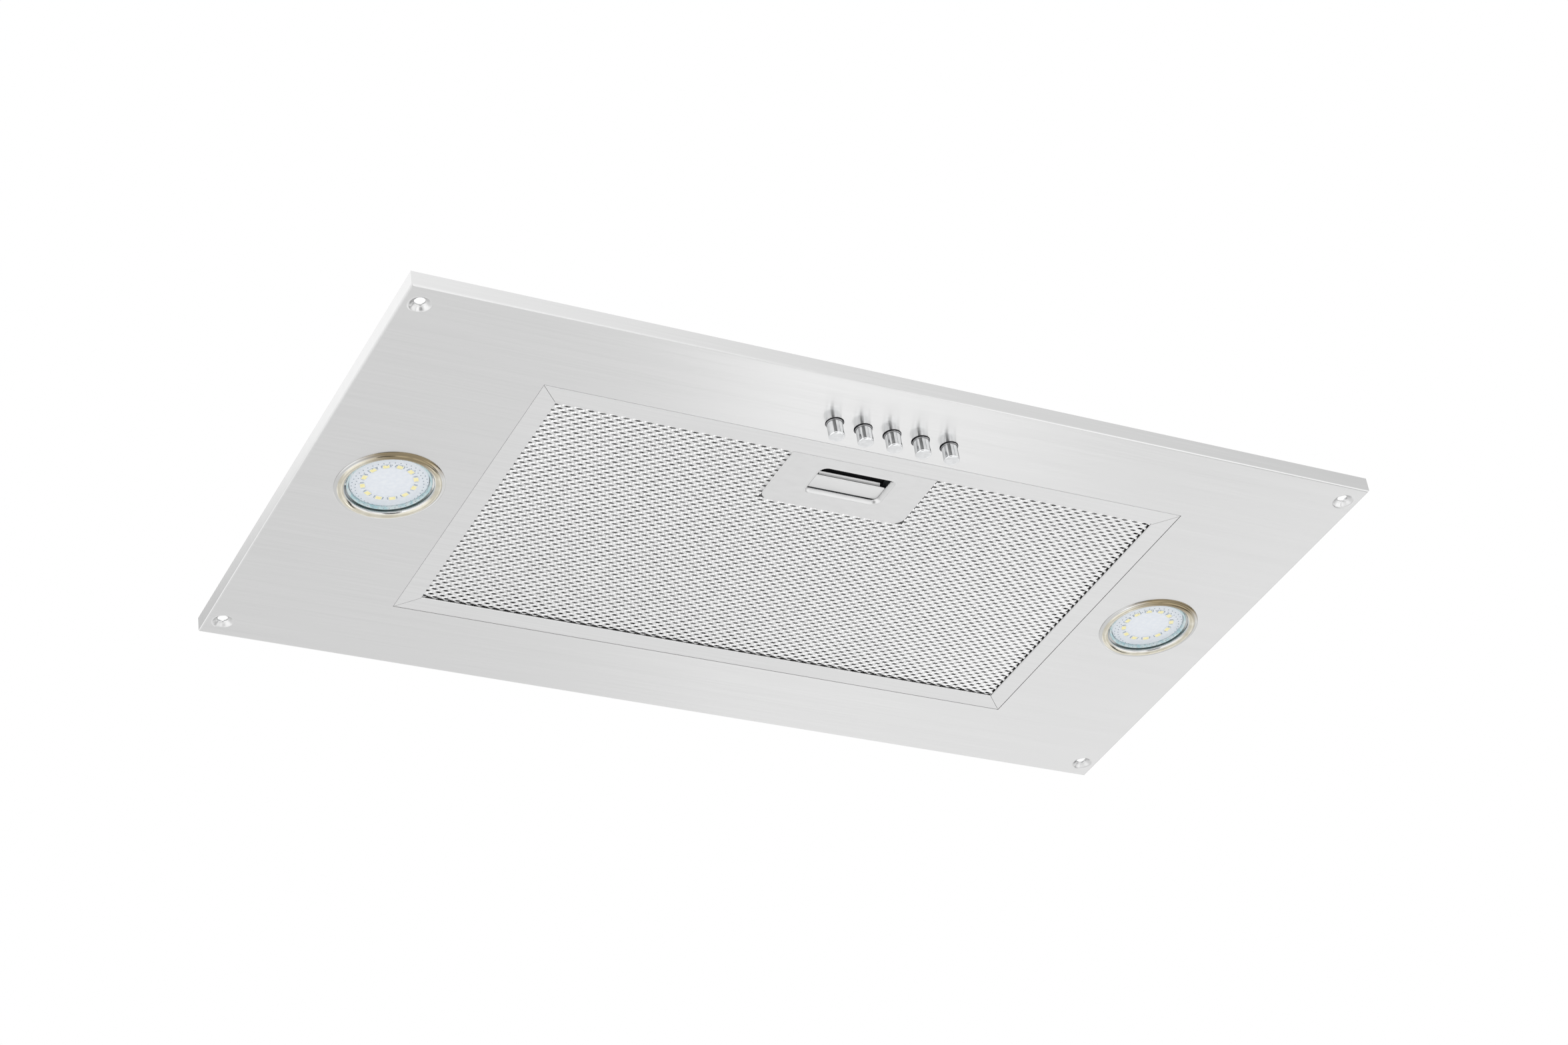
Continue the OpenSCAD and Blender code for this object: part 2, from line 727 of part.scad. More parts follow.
// Collar that the duct slides over, with four stops for the flaps
module duct_spigot() {
    color("lightsteelblue") difference() {
        union() {
            translate([duct_x, duct_y, box_z1]) cylinder(r = flange_r, h = case_t);
            translate([duct_x, duct_y, box_z1]) cylinder(r = duct_r, h = duct_h);
        }
        difference() {
            translate([duct_x, duct_y, box_z1 - 1]) cylinder(r = duct_r - case_t, h = duct_h + 2);
            for (a = [35, 145, 215, 325])
                translate([duct_x, duct_y, rod_z - flap_t / 2 - loose_gap - 0.8]) rotate([0, 0, a])
                    translate([duct_r - case_t - 4, -4, 0]) cube([6, 8, 0.8]);
        }
        translate([duct_x, duct_y, rod_z]) rotate([0, 90, 0])
            cylinder(r = rod_r + seat_gap, h = 2 * duct_r + 2, center = true);
    }
}

// Hinge rod across the collar
module damper_rod() {
    color("silver") translate([duct_x, duct_y, rod_z]) rotate([0, 90, 0])
        cylinder(r = rod_r, h = 2 * duct_r - 0.4, center = true);
}

// Half-round flap; side is 1 behind the rod and -1 in front, knuckles lie at the given places
module damper_flap(side, places) {
    color("gray") translate([duct_x, duct_y, rod_z]) difference() {
        union() {
            intersection() {
                translate([0, 0, -flap_t / 2]) cylinder(r = flap_r, h = flap_t);
                block([-flap_r, side > 0 ? flap_edge : -flap_r, -flap_t],
                      [flap_r, side > 0 ? flap_r : -flap_edge, flap_t]);
            }
            for (x = places) {
                translate([x, 0, 0]) rotate([0, 90, 0])
                    cylinder(r = knuckle_r, h = knuckle_l, center = true);
                translate([x, side * (flap_edge + 0.5) / 2, 0])
                    cube([knuckle_l, flap_edge + 0.5, flap_t], center = true);
            }
        }
        rotate([0, 90, 0]) cylinder(r = rod_r + run_gap, h = 2 * duct_r, center = true);
    }
}

module damper_flap_front() {
    damper_flap(-1, [-knuckle_at, knuckle_at]);
}

module damper_flap_back() {
    damper_flap(1, [-knuckle_at - knuckle_l - 2, knuckle_at + knuckle_l + 2]);
}

// Plastic box on the deck for the mains connections
module junction_box() {
    color("dimgray") difference() {
        block([junction_x0, junction_y0, deck_z], [junction_x1, junction_y1, deck_z + junction_h]);
        block([junction_x0 + junction_t, junction_y0 + junction_t, deck_z + junction_t],
              [junction_x1 - junction_t, junction_y1 - junction_t, deck_z + junction_h + 1]);
        translate([junction_x, junction_y1 - 2, gland_z]) rotate([-90, 0, 0])
            cylinder(r = gland_r + seat_gap, h = 4);
        translate([junction_x, junction_y0 - 1, switch_lead_z]) rotate([-90, 0, 0])
            cylinder(r = wire_r + loose_gap, h = 3);
        translate([junction_x0 - 1, 0, lamp_lead_z]) rotate([0, 90, 0])
            cylinder(r = wire_r + loose_gap, h = 3);
    }
}

// Lid of the junction box, with a rim that drops inside
module junction_lid() {
    z = deck_z + junction_h;
    in = junction_t + rest_gap;
    color("dimgray") difference() {
        union() {
            block([junction_x0, junction_y0, z], [junction_x1, junction_y1, z + 1.2]);
            block([junction_x0 + in, junction_y0 + in, z - 2], [junction_x1 - in, junction_y1 - in, z]);
        }
        block([junction_x0 + in + 1, junction_y0 + in + 1, z - 3],
              [junction_x1 - in - 1, junction_y1 - in - 1, z]);
        translate([junction_x, motor_lead_y, z - 3]) cylinder(r = wire_r + loose_gap, h = 6);
    }
}

// Screw terminals for the mains cable
module terminal_block() {
    color("ivory") translate([junction_x, junction_y1 - terminal_set, deck_z + junction_t]) difference() {
        translate([-9, -8, 0]) cube([18, 16, 11]);
        for (x = [-5.5, 0, 5.5]) {
            translate([x, 0, 6]) cylinder(r = 1.8, h = 6);
            translate([x, -9, 3.5]) rotate([-90, 0, 0]) cylinder(r = 1.5, h = 18);
        }
    }
}

// Gland that the mains cable comes in by
module cable_gland() {
    color("dimgray") translate([junction_x, junction_y1 - 6, gland_z]) rotate([-90, 0, 0]) difference() {
        union() {
            cylinder(r = gland_r, h = gland_l - 3);
            cylinder(r = nut_r, h = 5 - rest_gap, $fn = 6);
            translate([0, 0, 6]) cylinder(r = nut_r, h = 5, $fn = 6);
            translate([0, 0, gland_l - 9]) cylinder(r = nut_r - 0.4, h = 9);
        }
        translate([0, 0, -1]) cylinder(r = cable_r, h = gland_l + 2);
    }
}

// Motor's run capacitor
module capacitor() {
    color("lightgray") translate([junction_x, junction_y0 + 10, deck_z + junction_t + capacitor_r]) {
        rotate([-90, 0, 0]) cylinder(r = capacitor_r, h = capacitor_l);
        for (x = [-4, 4])
            translate([x - 0.4, capacitor_l, -2]) cube([0.8, 5, 4]);
    }
}

module at_driver_ears() {
    for (y = [driver_y0 - ear_l / 2, driver_y1 + ear_l / 2])
        translate([driver_x, y, 0]) children();
}

// Low-voltage driver for the lamps
module led_driver() {
    color("white") difference() {
        union() {
            translate([driver_x, (driver_y0 + driver_y1) / 2, deck_z]) linear_extrude(driver_h)
                round_rect(driver_x1 - driver_x0, driver_l, 3);
            at_driver_ears() translate([-ear_w / 2, -ear_l / 2 - 1, deck_z]) cube([ear_w, ear_l + 2, ear_t]);
        }
        at_driver_ears() translate([0, 0, deck_z - 1]) cylinder(r = case_screw_r + 0.05, h = ear_t + 2);
    }
}

// Moulded body of the switch block: one cell for each button, a guide above it and two lugs
module switch_body() {
    hy = switch_d / 2;
    color("dimgray") difference() {
        union() {
            block([-switch_hx, row_y - hy, switch_z0], [switch_hx, row_y + hy, switch_z1]);
            for (s = [-1, 1])
                translate([s * (switch_hx + lug_l / 2 - 0.5), row_y, switch_z0 + lug_t / 2])
                    cube([lug_l + 1, 9, lug_t], center = true);
        }
        at_buttons() {
            translate([0, 0, switch_z0 - 1]) cylinder(r = button_r + slide_gap, h = floor_t + 2);
            translate([0, 0, switch_z0 + floor_t]) cylinder(r = cell_r, h = guide_z - switch_z0 - floor_t);
            translate([0, 0, guide_z - 1]) cylinder(r = stem_r + slide_gap, h = guide_t + 2);
        }
        block([-switch_hx + 1.5, row_y - hy + 1.5, guide_z + guide_t],
              [switch_hx - 1.5, row_y + hy - 1.5, switch_z1 + 1]);
        for (s = [-1, 1])
            translate([s * (switch_hx + lug_l / 2), row_y, switch_z0 - 1])
                cylinder(r = case_screw_r + 0.05, h = lug_t + 2);
    }
}

// Lid of the switch block, pierced for its terminals
module switch_lid() {
    hy = switch_d / 2;
    color("dimgray") difference() {
        block([-switch_hx, row_y - hy, switch_z1], [switch_hx, row_y + hy, switch_z1 + lid_t]);
        for (i = [0 : button_count - 1])
            translate([button_x(i), row_y, switch_z1 + lid_t / 2]) cube([1, 5, lid_t + 2], center = true);
    }
}

// Brass blades that the loom plugs on to, clear of the pressed stems
module switch_terminals() {
    z0 = stem_top + button_travel + loose_gap;
    color("goldenrod") for (i = [0 : button_count - 1])
        block([button_x(i) - 0.4, row_y - 2.4, z0], [button_x(i) + 0.4, row_y + 2.4, switch_z1 + lid_t + 5]);
}

// Sheet plate spot-welded to the fascia, which the switch block is screwed to
module switch_bracket() {
    hx = switch_hx + lug_l;
    hy = switch_d / 2 - 1;
    color("lightsteelblue") difference() {
        block([-hx, row_y - hy, sheet_t], [hx, row_y + hy, 2 * sheet_t]);
        at_buttons() cylinder(r = collar_r + slide_gap, h = 3 * sheet_t);
        for (s = [-1, 1])
            translate([s * (switch_hx + lug_l / 2), row_y, 0])
                cylinder(r = case_screw_r + 0.05, h = 3 * sheet_t);
    }
}

// Chromed rings in the fascia's button holes
module button_collars() {
    color("gray") at_buttons() difference() {
        union() {
            translate([0, 0, -collar_w]) cylinder(r = collar_r + 0.4, h = collar_w);
            cylinder(r = collar_r, h = 2 * sheet_t - 0.05);
        }
        translate([0, 0, -2]) cylinder(r = button_r + slide_gap, h = 6);
    }
}

// One push button: chromed cap, stop flange and stem
module button(i) {
    edge = 0.8;
    color("silver") translate([button_x(i), row_y, 0]) {
        translate([0, 0, -button_out]) rotate_extrude() {
            translate([0, edge]) square([button_r, button_out + flange_z - edge]);
            square([button_r - edge, edge]);
            intersection() {
                translate([button_r - edge, edge]) circle(edge);
                square([button_r, edge]);
            }
        }
        translate([0, 0, flange_z]) cylinder(r = plunger_r, h = flange_t);
        translate([0, 0, flange_z + flange_t]) cylinder(r = stem_r, h = stem_top - flange_z - flange_t);
    }
}

module button_1() {
    button(0);
}

module button_2() {
    button(1);
}

module button_3() {
    button(2);
}

module button_4() {
    button(3);
}

module button_5() {
    button(4);
}

// Return spring over a button's stem, between its flange and the guide
module button_spring(i) {
    z0 = flange_z + flange_t + rest_gap;
    color("silver") translate([button_x(i), row_y, z0])
        coil(plunger_r - 1.2, spring_wire, spring_turns, guide_z - rest_gap - z0);
}

module button_spring_1() {
    button_spring(0);
}

module button_spring_2() {
    button_spring(1);
}

module button_spring_3() {
    button_spring(2);
}

module button_spring_4() {
    button_spring(3);
}

module button_spring_5() {
    button_spring(4);
}

// Nickel ring in the fascia with the sleeve that holds the bulb
module lamp_ring(side) {
    mid = (ring_r + ring_hole_r) / 2;
    color("silver") translate([side * lamp_x, 0, 0]) rotate_extrude() {
        polygon([[ring_hole_r, 0.6], [ring_hole_r, -ring_t * 0.35], [ring_hole_r + 0.8, -ring_t * 0.8],
                 [mid - 0.6, -ring_t], [mid + 0.6, -ring_t], [ring_r - 1, -ring_t * 0.6],
                 [ring_r, -ring_t * 0.15], [ring_r, 0], [sleeve_r, 0], [sleeve_r, sleeve_h],
                 [sleeve_r - sleeve_t, sleeve_h], [sleeve_r - sleeve_t, 0.6]]);
    }
}

// Glass cup of the bulb
module lamp_glass(side) {
    color("lightcyan") translate([side * lamp_x, 0, bulb_z]) difference() {
        union() {
            cylinder(r = bulb_r, h = 4);
            translate([0, 0, 4]) cylinder(r1 = bulb_r, r2 = bulb_neck_r + bulb_t, h = bulb_h - 4);
        }
        translate([0, 0, -1]) cylinder(r = bulb_r - bulb_t, h = 5.01);
        translate([0, 0, 4]) cylinder(r1 = bulb_r - bulb_t, r2 = bulb_neck_r, h = bulb_h - 3.99);
    }
}

// Round circuit board with its LEDs
module lamp_board(side) {
    color("aliceblue") translate([side * lamp_x, 0, board_z]) {
        cylinder(r = board_r, h = board_t);
        translate([0, 0, board_t]) cylinder(r = 5, h = bulb_h + bulb_z - board_z - board_t - 0.5);
    }
}

// Bulb's ceramic base with two pins
module lamp_base(side) {
    color("white") translate([side * lamp_x, 0, base_z]) {
        cylinder(r = bulb_neck_r + bulb_t, h = base_h);
        for (x = [-pin_at, pin_at])
            translate([x, 0, base_h]) cylinder(r = pin_r, h = pin_l);
    }
}

// Ceramic socket for the bulb's pins
module lamp_holder(side) {
    color("ivory") translate([side * lamp_x, 0, holder_z]) difference() {
        cylinder(r = holder_r, h = holder_h);
        for (x = [-pin_at, pin_at])
            translate([x, 0, -1]) cylinder(r = pin_r + slide_gap, h = pin_l + 2);
    }
}

// Strap over the lamp that holds its socket, welded to the fascia by its feet
module lamp_bracket(side) {
    top = holder_z + holder_h;
    hw = strap_w / 2;
    color("lightsteelblue") translate([side * lamp_x, 0, 0]) difference() {
        union() {
            for (s = [-1, 1]) {
                translate([-hw, s > 0 ? strap_in : -strap_in - strap_t, sheet_t])
                    cube([strap_w, strap_t, top + strap_t - sheet_t]);
                translate([-hw, s > 0 ? strap_in : -strap_in - strap_foot, sheet_t])
                    cube([strap_w, strap_foot, strap_t]);
            }
            translate([-hw, -strap_in, top]) cube([strap_w, 2 * strap_in, strap_t]);
        }
        translate([0, 0, top - 1]) cylinder(r = wire_r + loose_gap, h = strap_t + 2);
    }
}

module lamp_ring_left() {
    lamp_ring(-1);
}

module lamp_ring_right() {
    lamp_ring(1);
}

module lamp_glass_left() {
    lamp_glass(-1);
}

module lamp_glass_right() {
    lamp_glass(1);
}

module lamp_board_left() {
    lamp_board(-1);
}

module lamp_board_right() {
    lamp_board(1);
}

module lamp_base_left() {
    lamp_base(-1);
}

module lamp_base_right() {
    lamp_base(1);
}

module lamp_holder_left() {
    lamp_holder(-1);
}

module lamp_holder_right() {
    lamp_holder(1);
}

module lamp_bracket_left() {
    lamp_bracket(-1);
}

module lamp_bracket_right() {
    lamp_bracket(1);
}

// Channel frame of the filter: one strip, notched at the corners and folded, so each corner of its
// two faces shows a mitre
module filter_frame() {
    cut = 2 * strip_w;
    color("silver") difference() {
        union() {
            difference() {
                block([-filter_hx, -filter_hy, 0], [filter_hx, filter_hy, filter_t]);
                block([-filter_hx + frame_t, -filter_hy + frame_t, frame_t],
                      [filter_hx - frame_t, filter_hy - frame_t, filter_t - frame_t]);
                block([-window_hx, -window_hy, -1], [window_hx, window_hy, filter_t + 1]);
            }
            difference() {
                block([-window_hx - frame_t, -window_hy - frame_t, 0],
                      [window_hx + frame_t, window_hy + frame_t, lip_h]);
                block([-window_hx, -window_hy, -1], [window_hx, window_hy, lip_h + 1]);
            }
            for (s = [-1, 1])
                translate([s * filter_w / 4 - tab_w / 2, filter_hy - frame_t, tab_z])
                    cube([tab_w, tab_reach + frame_t, frame_t]);
        }
        for (sx = [-1, 1], sy = [-1, 1], z = [-1, filter_t - frame_t])
            translate([sx * (filter_hx - frame_t), sy * (filter_hy - frame_t), z])
                rotate([0, 0, atan2(sy, sx) + 180])
                    translate([0, -mitre_gap / 2, 0]) cube([cut, mitre_gap, frame_t + 1]);
        block([-tongue_w / 2 - slot_gap, -filter_hy - 1, slider_z - slot_gap],
              [tongue_w / 2 + slot_gap, -filter_hy + 2 * frame_t, slider_z + slider_t + slot_gap]);
    }
}

// Outer mesh, drawn coarser than the real one so that its openings can be counted
module filter_mesh() {
    pitch_x = 2 * window_hx / mesh_columns;
    pitch_y = 2 * window_hy / mesh_rows;
    half_x = pitch_x / 2 - strand_w / 2;
    half_y = pitch_y - strand_w / 2;
    color("lightgray") difference() {
        translate([-mesh_hx, -mesh_hy]) square([2 * mesh_hx, 2 * mesh_hy]);
        for (j = [0 : mesh_rows - 2], i = [0 : mesh_columns - 1])
            if (i > 0 || j % 2 == 0)
                translate([-window_hx + (i + (j % 2 == 0 ? 0.5 : 0)) * pitch_x,
                           -window_hy + (j + 1) * pitch_y])
                    polygon([[-half_x, 0], [0, -half_y], [half_x, 0], [0, half_y]]);
        latch_cutout();
    }
}

// Place of the latch in the filter's layers
module latch_cutout() {
    translate([-housing_w / 2 - loose_gap, -mesh_hy - 1])
        square([housing_w + 2 * loose_gap, mesh_hy + 1 + housing_y1 + loose_gap]);
}

module filter_mesh_lower() {
    translate([0, 0, lip_h]) linear_extrude(mesh_t) filter_mesh();
}

module filter_mesh_upper() {
    translate([0, 0, pack_z1 - mesh_t]) linear_extrude(mesh_t) filter_mesh();
}

// Pleated core between the two meshes
module filter_core() {
    pitch = 2 * mesh_hx / core_pleats;
    rise = core_h - core_t;
    low = [for (i = [0 : 2 * core_pleats]) [-mesh_hx + i * pitch / 2, i % 2 == 0 ? 0 : rise]];
    high = [for (i = [2 * core_pleats : -1 : 0]) low[i] + [0, core_t]];
    color("lightgray") difference() {
        translate([0, 0, core_z0]) rotate([90, 0, 0]) linear_extrude(2 * mesh_hy, center = true)
            polygon(concat(low, high));
        translate([0, 0, lip_h]) linear_extrude(filter_t) latch_cutout();
    }
}

// Outline of the latch plate, with its two back corners rounded
module plate_outline(g) {
    hw = plate_w / 2 + g;
    translate([-hw, plate_y0]) square([2 * hw, plate_d - plate_r + g]);
    translate([-hw + plate_r, plate_y0]) square([2 * hw - 2 * plate_r, plate_d + g]);
    for (s = [-1, 1])
        translate([s * (hw - plate_r), plate_y1 + g - plate_r]) circle(plate_r);
}

// Solid that tapers from the finger hole's mouth at the face to its narrow end, grown by g
module finger_taper(g, z0, z1) {
    hull() {
        translate([0, finger_y, z0]) linear_extrude(0.01)
            round_rect(finger_w + 2 * (finger_lip + g), finger_d + 2 * (finger_lip + g), 4 + g, $fn = 32);
        translate([0, finger_y, z1]) linear_extrude(0.01)
            round_rect(finger_w + 2 * g, finger_d + 2 * g, 2.6 + g, $fn = 32);
    }
}

// Pressed plate on the filter with a lipped finger hole
module latch_plate() {
    color("gainsboro") difference() {
        union() {
            difference() {
                translate([0, 0, plate_z]) linear_extrude(lip_h - plate_z) plate_outline(0);
                translate([0, 0, plate_z + plate_t]) linear_extrude(lip_h) plate_outline(-plate_t);
                block([-plate_w, plate_y0 - 1, plate_z + plate_t],
                      [plate_w, plate_y0 + plate_t + 0.5, lip_h + 1]);
            }
            finger_taper(plate_t, plate_z, lip_h - 0.01);
        }
        finger_taper(0, plate_z, lip_h);
        block([-finger_w / 2 - finger_lip, finger_y - finger_d / 2 - finger_lip, -1],
              [finger_w / 2 + finger_lip, finger_y + finger_d / 2 + finger_lip, plate_z]);
    }
}

// Cover over the latch, set in the filter's layers, which guides the slider
module latch_housing() {
    hw = housing_w / 2;
    color("silver") difference() {
        block([-hw, housing_y0, lip_h], [hw, housing_y1, housing_z1]);
        block([-hw + housing_t, housing_y0 + housing_t, lip_h - 1],
              [hw - housing_t, housing_y1 - housing_t, housing_z1 - housing_t]);
        block([-tongue_w / 2 - slot_gap, housing_y0 - 1, lip_h - 1],
              [tongue_w / 2 + slot_gap, housing_y0 + 2 * housing_t, slider_z + slider_t + slot_gap]);
    }
}

// Finger catch and tongue, bent from one strip
module latch_slider() {
    hw = finger_w / 2 + 0.2;
    tw = tongue_w / 2;
    step_y = housing_y0 + housing_t + 1.6;
    color("gainsboro") {
        block([-hw, slider_y, slider_z], [hw, slider_back, slider_z + slider_t]);
        block([-hw, slider_y, slider_z], [hw, slider_y + slider_t, rail_z]);
        block([-hw, slider_y - 1.6, rail_z - 1.9], [hw, slider_y + slider_t, rail_z - 1.1]);
        block([-hw, step_y, rail_z - slider_t], [hw, slider_y + slider_t, rail_z]);
        block([-tw, step_y, slider_z], [tw, step_y + slider_t, rail_z]);
        block([-tw, tongue_tip, slider_z], [tw, step_y + slider_t, slider_z + slider_t]);
    }
}

// Spring that pushes the slider to the front
module latch_spring() {
    y0 = slider_y + slider_t + rest_gap;
    y1 = housing_y1 - housing_t - rest_gap;
    color("silver") translate([0, y0, (slider_z + slider_t + rail_z) / 2]) rotate([-90, 0, 0])
        coil(1.2, 0.25, 7, y1 - y0);
}

// Loom inside the cabinet: the points of each lead, chosen by hand
motor_lead_y = 30;
motor_lead_z = mount_z + mount_t + 1.5;
lamp_lead_z = deck_z + 14;
switch_lead_z = deck_z + 14;
lead_top = holder_z + holder_h + loose_gap;

left_lamp_lead = [
    [-lamp_x, 0, lead_top], [-lamp_x, 0, lead_top + 4], [-lamp_x + 5, 0, lead_top + 7],
    [-lamp_x + 14, 0, lead_top + 3], [junction_x0 - 8, 0, lamp_lead_z], [junction_x0 + 3, 0, lamp_lead_z]
];
right_lamp_lead = [
    [lamp_x, 0, lead_top], [lamp_x, 0, lead_top + 4], [lamp_x - 5, 0, lead_top + 7],
    [lamp_x - 14, 0, lead_top + 3], [driver_x1 + 8, 0, deck_z + 12], [driver_x1 + 0.1, 0, deck_z + 12]
];
switch_lead = [
    [-switch_hx + 6, row_y + 3, switch_z1 + lid_t + loose_gap], [-switch_hx + 6, row_y + 3, switch_z1 + lid_t + 3],
    [-switch_hx - 4, row_y + 3, switch_z1 + lid_t + 5], [-switch_hx - 30, row_y + 3, switch_z1 + lid_t + 5],
    [-130, row_y + 3, 30], [-152, row_y + 4, 34], [junction_x, chamber_y0 - 3, deck_z],
    [junction_x, chamber_y0 + 18, deck_z + 6], [junction_x, junction_y0 - 14, switch_lead_z],
    [junction_x, junction_y0 + 3, switch_lead_z]
];
motor_lead = [
    [blower_x - 24, motor_lead_y, motor_lead_z], [blower_x - 50, motor_lead_y, motor_lead_z],
    [-box_w / 2 - 1, motor_lead_y, motor_lead_z], [-box_w / 2 - 10, motor_lead_y, motor_lead_z - 2],
    [junction_x, motor_lead_y, motor_lead_z - 14], [junction_x, motor_lead_y, deck_z + junction_h + 4],
    [junction_x, motor_lead_y, deck_z + junction_h - 3]
];

module wiring_loom() {
    color("white") {
        swept_bar(smooth(left_lamp_lead, 5), wire_r, 8, [0, 1, 0]);
        swept_bar(smooth(right_lamp_lead, 5), wire_r, 8, [0, 1, 0]);
        swept_bar(smooth(switch_lead, 5), wire_r, 8, [0.35, 0.2, 0.9]);
        swept_bar(smooth(motor_lead, 5), wire_r, 8, [0, 1, 0]);
    }
}

// Screws of the deck, the box, the driver, the motor and the switch block
module case_screws() {
    color("silver") {
        at_deck_screws() translate([0, 0, deck_z])
            screw(case_screw_r, case_screw_l, case_head_r, case_head_h);
        at_box_tabs() translate([0, 0, deck_z + case_t])
            screw(case_screw_r, case_screw_l, case_head_r, case_head_h);
        at_driver_ears() translate([0, 0, deck_z + ear_t])
            screw(case_screw_r, case_screw_l, case_head_r, case_head_h);
        at_grommets() translate([0, 0, mount_z + mount_t])
            screw(case_screw_r, case_screw_l + 1.6, case_head_r, case_head_h);
        for (s = [-1, 1])
            translate([s * (switch_hx + lug_l / 2), row_y, switch_z0 + lug_t])
                screw(case_screw_r, lug_t + sheet_t - 0.1, case_head_r, case_head_h);
    }
}

fascia_panel();
chamber_walls();
blower_deck();
blower_box();
inlet_ring();
scroll_housing();
motor_mount();
motor_grommets();
motor_can();
motor_stator();
motor_bearings();
duct_spigot();
damper_rod();
damper_flap_front();
damper_flap_back();
fan_wheel();
motor_shaft();
junction_box();
junction_lid();
terminal_block();
cable_gland();
capacitor();
led_driver();
switch_body();
switch_lid();
switch_terminals();
switch_bracket();
button_collars();
button_1();
button_2();
button_3();
button_4();
button_5();
button_spring_1();
button_spring_2();
button_spring_3();
button_spring_4();
button_spring_5();
lamp_ring_left();
lamp_glass_left();
lamp_board_left();
lamp_base_left();
lamp_holder_left();
lamp_bracket_left();
lamp_ring_right();
lamp_glass_right();
lamp_board_right();
lamp_base_right();
lamp_holder_right();
lamp_bracket_right();
filter_frame();
filter_mesh_lower();
filter_core();
filter_mesh_upper();
latch_plate();
latch_housing();
latch_slider();
latch_spring();
wiring_loom();
case_screws();
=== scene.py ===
# Undermount range hood, dressed for the studio. The fascia's visible face lies in z = 0, +X is right,
# +Y is the wall and +Z is up into the cabinet. Sizes are in metres.
import math
import bmesh
import bpy
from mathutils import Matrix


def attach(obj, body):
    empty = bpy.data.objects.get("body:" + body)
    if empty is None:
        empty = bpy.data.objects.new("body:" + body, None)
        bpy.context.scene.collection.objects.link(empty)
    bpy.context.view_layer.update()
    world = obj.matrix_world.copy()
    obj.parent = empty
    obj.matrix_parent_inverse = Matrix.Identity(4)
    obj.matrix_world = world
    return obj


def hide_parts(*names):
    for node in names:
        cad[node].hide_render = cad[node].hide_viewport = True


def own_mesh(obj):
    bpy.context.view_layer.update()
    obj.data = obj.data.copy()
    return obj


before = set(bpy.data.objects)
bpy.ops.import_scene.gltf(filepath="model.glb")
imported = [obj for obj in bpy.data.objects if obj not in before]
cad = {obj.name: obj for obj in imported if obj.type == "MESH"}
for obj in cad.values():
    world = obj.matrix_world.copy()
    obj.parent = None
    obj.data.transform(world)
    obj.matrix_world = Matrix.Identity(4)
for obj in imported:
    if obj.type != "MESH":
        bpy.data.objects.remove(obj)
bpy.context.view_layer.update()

# Fascia: one sheet of 0.8 mm stainless, cut out for the filter, lamps, buttons and screws, its four
# sides folded up with open corner seams and its screw holes dimpled. The face is brushed along its length.
FASCIA_X, FASCIA_Y, RIM, SHEET, BEND = 0.260, 0.1405, 0.0082, 0.0008, 0.0010
LONG_SEAM, SIDE_SEAM = 0.00006, 0.000096  # how far the folds stop short of their mitre
OPENING = (-0.17575, 0.17573, -0.09328, 0.09302)  # x0, x1, y0, y1: the filter sits a little off centre in it
LAMP_X, LAMP_HOLE = 0.2146, 0.024
ROW_Y, BUTTON_PITCH, BUTTON_HOLE = -0.10815, 0.0158, 0.00464
SCREW_X, SCREW_Y, DIMPLE = 0.2515, 0.129, 0.0060
CORNERS = [(sx, sy) for sx in (-1, 1) for sy in (-1, 1)]
THROUGH = (-0.005, 0.005)  # z0, z1 of a cutter that passes right through the face
BUTTON_X = [(i - 2) * BUTTON_PITCH for i in range(5)]
BUTTON_PLAY = [(-0.00004, -0.00026)] + [(-0.00034, -0.00018)] * 4  # each hole against its button's centre


def drop_selection():
    if bpy.context.object and bpy.context.object.mode == "EDIT":
        bpy.ops.object.mode_set(mode="OBJECT")
    bpy.ops.object.select_all(action="DESELECT")


def take(piece):
    """Selects this piece alone and makes it the active one."""
    drop_selection()
    piece.select_set(True)
    bpy.context.view_layer.objects.active = piece


def copied(piece, x, y, turn=0.0):
    """A copy with its own mesh, turned on the spot and then set at (x, y)."""
    take(piece)
    bpy.ops.object.duplicate()
    copy = bpy.context.object
    copy.location, copy.rotation_euler = (x, y, 0), (0, 0, turn)
    bpy.ops.object.transform_apply()
    return copy


def start_piece(name):
    """The primitive just added gets its name, its place in its mesh, and goes into edit mode."""
    piece = bpy.context.object
    piece.name = piece.data.name = name
    bpy.ops.object.transform_apply()
    bpy.ops.object.mode_set(mode="EDIT")
    bpy.ops.mesh.select_mode(type="VERT")
    return piece


def pick(kind, test):
    """In edit mode, selects the verts, edges or faces whose middle (and a face's normal) pass the test."""
    mesh = bmesh.from_edit_mesh(bpy.context.object.data)
    bpy.ops.mesh.select_mode(type={"verts": "VERT", "edges": "EDGE", "faces": "FACE"}[kind])
    bpy.ops.mesh.select_all(action="DESELECT")
    for item in getattr(mesh, kind):
        if kind == "faces":
            chosen = test(item.calc_center_median(), item.normal)
        elif kind == "edges":
            chosen = test(item.verts[0].co, item.verts[1].co)
        else:
            chosen = test(item.co)
        if chosen:
            item.select_set(True)
    mesh.select_flush_mode()
    bmesh.update_edit_mesh(bpy.context.object.data)


def modify(piece, kind, **settings):
    """Adds a modifier to the piece and applies it."""
    take(piece)
    step = piece.modifiers.new(kind.lower(), kind)
    for key, value in settings.items():
        setattr(step, key, value)
    bpy.ops.object.modifier_apply(modifier=step.name)


